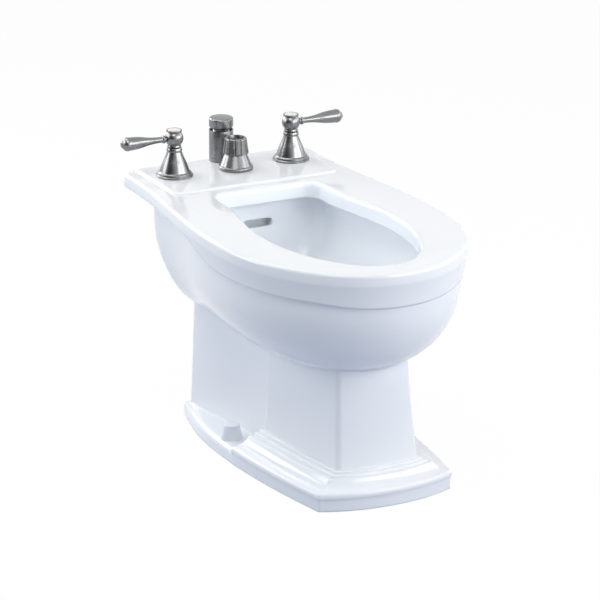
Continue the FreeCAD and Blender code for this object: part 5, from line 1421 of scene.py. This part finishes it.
# %% The tubes under the deck
TUBE_RADIUS = 5.0
TUBE_BEND = 12.0
TUBE_BEND_STEPS = 10
TUBE_SIDES = 32
PORT_DEPTH = 50.0
PORT_Z = LEDGE_HEIGHT - PORT_DEPTH
PORT_SEAT = 16.0


def tube_tree():
    tree, entry, leave = new_tree("bent_tube", [
        ("Tube radius", "NodeSocketFloat"), ("Bend radius", "NodeSocketFloat"),
        ("Finish", "NodeSocketMaterial"),
    ])
    value = entry.outputs
    soft = add(tree, "GeometryNodeFilletCurve", {"Count": TUBE_BEND_STEPS},
               {"Curve": value["Geometry"], "Radius": value["Bend radius"]}, mode="POLY")
    circle = add(tree, "GeometryNodeCurvePrimitiveCircle", {"Resolution": TUBE_SIDES},
                 {"Radius": value["Tube radius"]})
    sweep = add(tree, "GeometryNodeCurveToMesh", {"Fill Caps": True},
                {"Curve": soft.outputs[0], "Profile Curve": circle.outputs[0]})
    end_tree(tree, entry, leave, sweep.outputs[0])
    return tree


def tube(name, route, tree):
    """A bent tube along the route."""
    data = bpy.data.curves.new(name + "_route", "CURVE")
    data.dimensions = "3D"
    line = data.splines.new("POLY")
    line.points.add(len(route) - 1)
    for point, spot in zip(line.points, route):
        point.co = (spot[0] * MM, spot[1] * MM, spot[2] * MM, 1)
    source = linked(name + "_route", data)
    hang_tree(source, tree, {
        "Tube radius": TUBE_RADIUS * MM, "Bend radius": TUBE_BEND * MM, "Finish": DRAWN_COPPER})
    piece = linked(name + "_run", result_of(source))
    bpy.data.objects.remove(source)
    smooth(piece)
    finish_piece(piece, [name], DRAWN_COPPER)


SPRAY_TUBE_X = 74.0
SPRAY_TUBE_Z = 162.0
SPRAY_TUBE_END_Z = 195.0
RIM_TUBE_END_Y = 139.0
turn_y = HULL_TOP_REAR_Y - 2 * TUBE_BEND
ROUTES = {
    "transfer_tube": [(0, DIVERTER_Y + PORT_SEAT, PORT_Z), (0, BREAKER_Y - PORT_SEAT, PORT_Z)],
    "rim_feed_tube": [
        (0, DIVERTER_Y - PORT_SEAT, PORT_Z), (0, turn_y, PORT_Z), (0, turn_y, RIM_INLET_Z),
        (0, RIM_TUBE_END_Y, RIM_INLET_Z)],
    "spray_feed_tube": [
        (PORT_SEAT, DIVERTER_Y, PORT_Z), (SPRAY_TUBE_X, DIVERTER_Y, PORT_Z),
        (SPRAY_TUBE_X, DIVERTER_Y, SPRAY_TUBE_Z), (0, SPRAY_Y, SPRAY_TUBE_Z),
        (0, SPRAY_Y, SPRAY_TUBE_END_Z)],
}
for name, side in (("hot", -1), ("cold", 1)):
    ROUTES[name + "_mixing_tube"] = [
        (side * HANDLE_X, HANDLE_Y + PORT_SEAT, PORT_Z), (side * HANDLE_X, BREAKER_Y, PORT_Z),
        (side * PORT_SEAT, BREAKER_Y, PORT_Z)]
bent_tube = tube_tree()
for name, route in ROUTES.items():
    tube(name, route, bent_tube)

# %% [markdown]
# ## Floor bolt caps
#
# Two hollow caps hide the floor bolts. One cap is turned at the origin, and a tree stands
# a copy on each bolt.

# %% The pair of caps
BOLT_CAP_PROFILE = [
    (15.4, 0.0), (17.0, 0.0), (12.4, 20.9), (10.8, 22.5, 0.45), (0.0, 22.5), (0.0, 20.9), (10.8, 20.9),
]


def pair_tree():
    tree, entry, leave = new_tree("pair_on_bolts", [
        ("Spacing", "NodeSocketFloat"), ("Height", "NodeSocketFloat"), ("Finish", "NodeSocketMaterial"),
    ])
    half = math_node(tree, "MULTIPLY", entry.outputs["Spacing"], 0.5)
    ends = []
    for sign in (-1.0, 1.0):
        spot = add(tree, "ShaderNodeCombineXYZ", links={
            0: math_node(tree, "MULTIPLY", half, sign), 2: entry.outputs["Height"]})
        ends.append(spot.outputs[0])
    line = add(tree, "GeometryNodeMeshLine", {"Count": 2}, {"Start Location": ends[0], "Offset": ends[1]},
               mode="END_POINTS")
    copies = add(tree, "GeometryNodeInstanceOnPoints",
                 links={"Points": line.outputs[0], "Instance": entry.outputs["Geometry"]})
    end_tree(tree, entry, leave, copies.outputs[0])
    return tree


caps = lathe("bolt_cap_pair", BOLT_CAP_PROFILE, (0, 0, 0), edge=0.5)
run_tree(caps, pair_tree(), {
    "Spacing": FLOOR_BOLT_SPACING * MM, "Height": FOOT_HEIGHT * MM, "Finish": CAP_PLASTIC})
smooth(caps)
finish_piece(caps, ["floor_bolt_caps"], CAP_PLASTIC)

# %% [markdown]
# ## What stays as the CAD has it
#
# Valves, nuts, washers and the drain are machined parts whose CAD form is right. A copy of
# each mesh is merged, so that it shades smoothly, and gets its finish. The brass that shows
# in the gaps above the deck is plated like the trim.

# %% The remaining nodes
MERGE_DISTANCE = 0.002
PLATED = {"breaker_body", "hot_valve_stem", "cold_valve_stem", "diverter_stem"}
replaced = {"china_body", "breaker_sleeve", "breaker_cap", "diverter_escutcheon", "diverter_knob",
            "lift_knob", "floor_bolt_caps"} | set(ROUTES)
for name in ("hot", "cold"):
    replaced |= {name + part for part in ("_escutcheon", "_handle_hub", "_index_button", "_lever")}


def merged_copy(node):
    """The CAD mesh with its corners merged, smooth where it is round."""
    source = frame["nodes"][node]
    mesh = source.data.copy()
    shape = bmesh.new()
    shape.from_mesh(mesh)
    bmesh.ops.remove_doubles(shape, verts=shape.verts, dist=MERGE_DISTANCE * MM)
    shape.to_mesh(mesh)
    shape.free()
    piece = linked(node + "_piece", mesh)
    smooth(piece, MACHINED_CREASE)
    finish = SATIN_NICKEL if node in PLATED else FINISH_OF_SLOT[SLOT_OF_NODE[node]]
    finish_piece(piece, [node], finish)


for node in sorted(set(frame["nodes"]) - replaced):
    merged_copy(node)

# %% [markdown]
# ## The sizes, and the end
#
# The dressed model must fill the same box as the CAD model.

# %% The end
print("done")
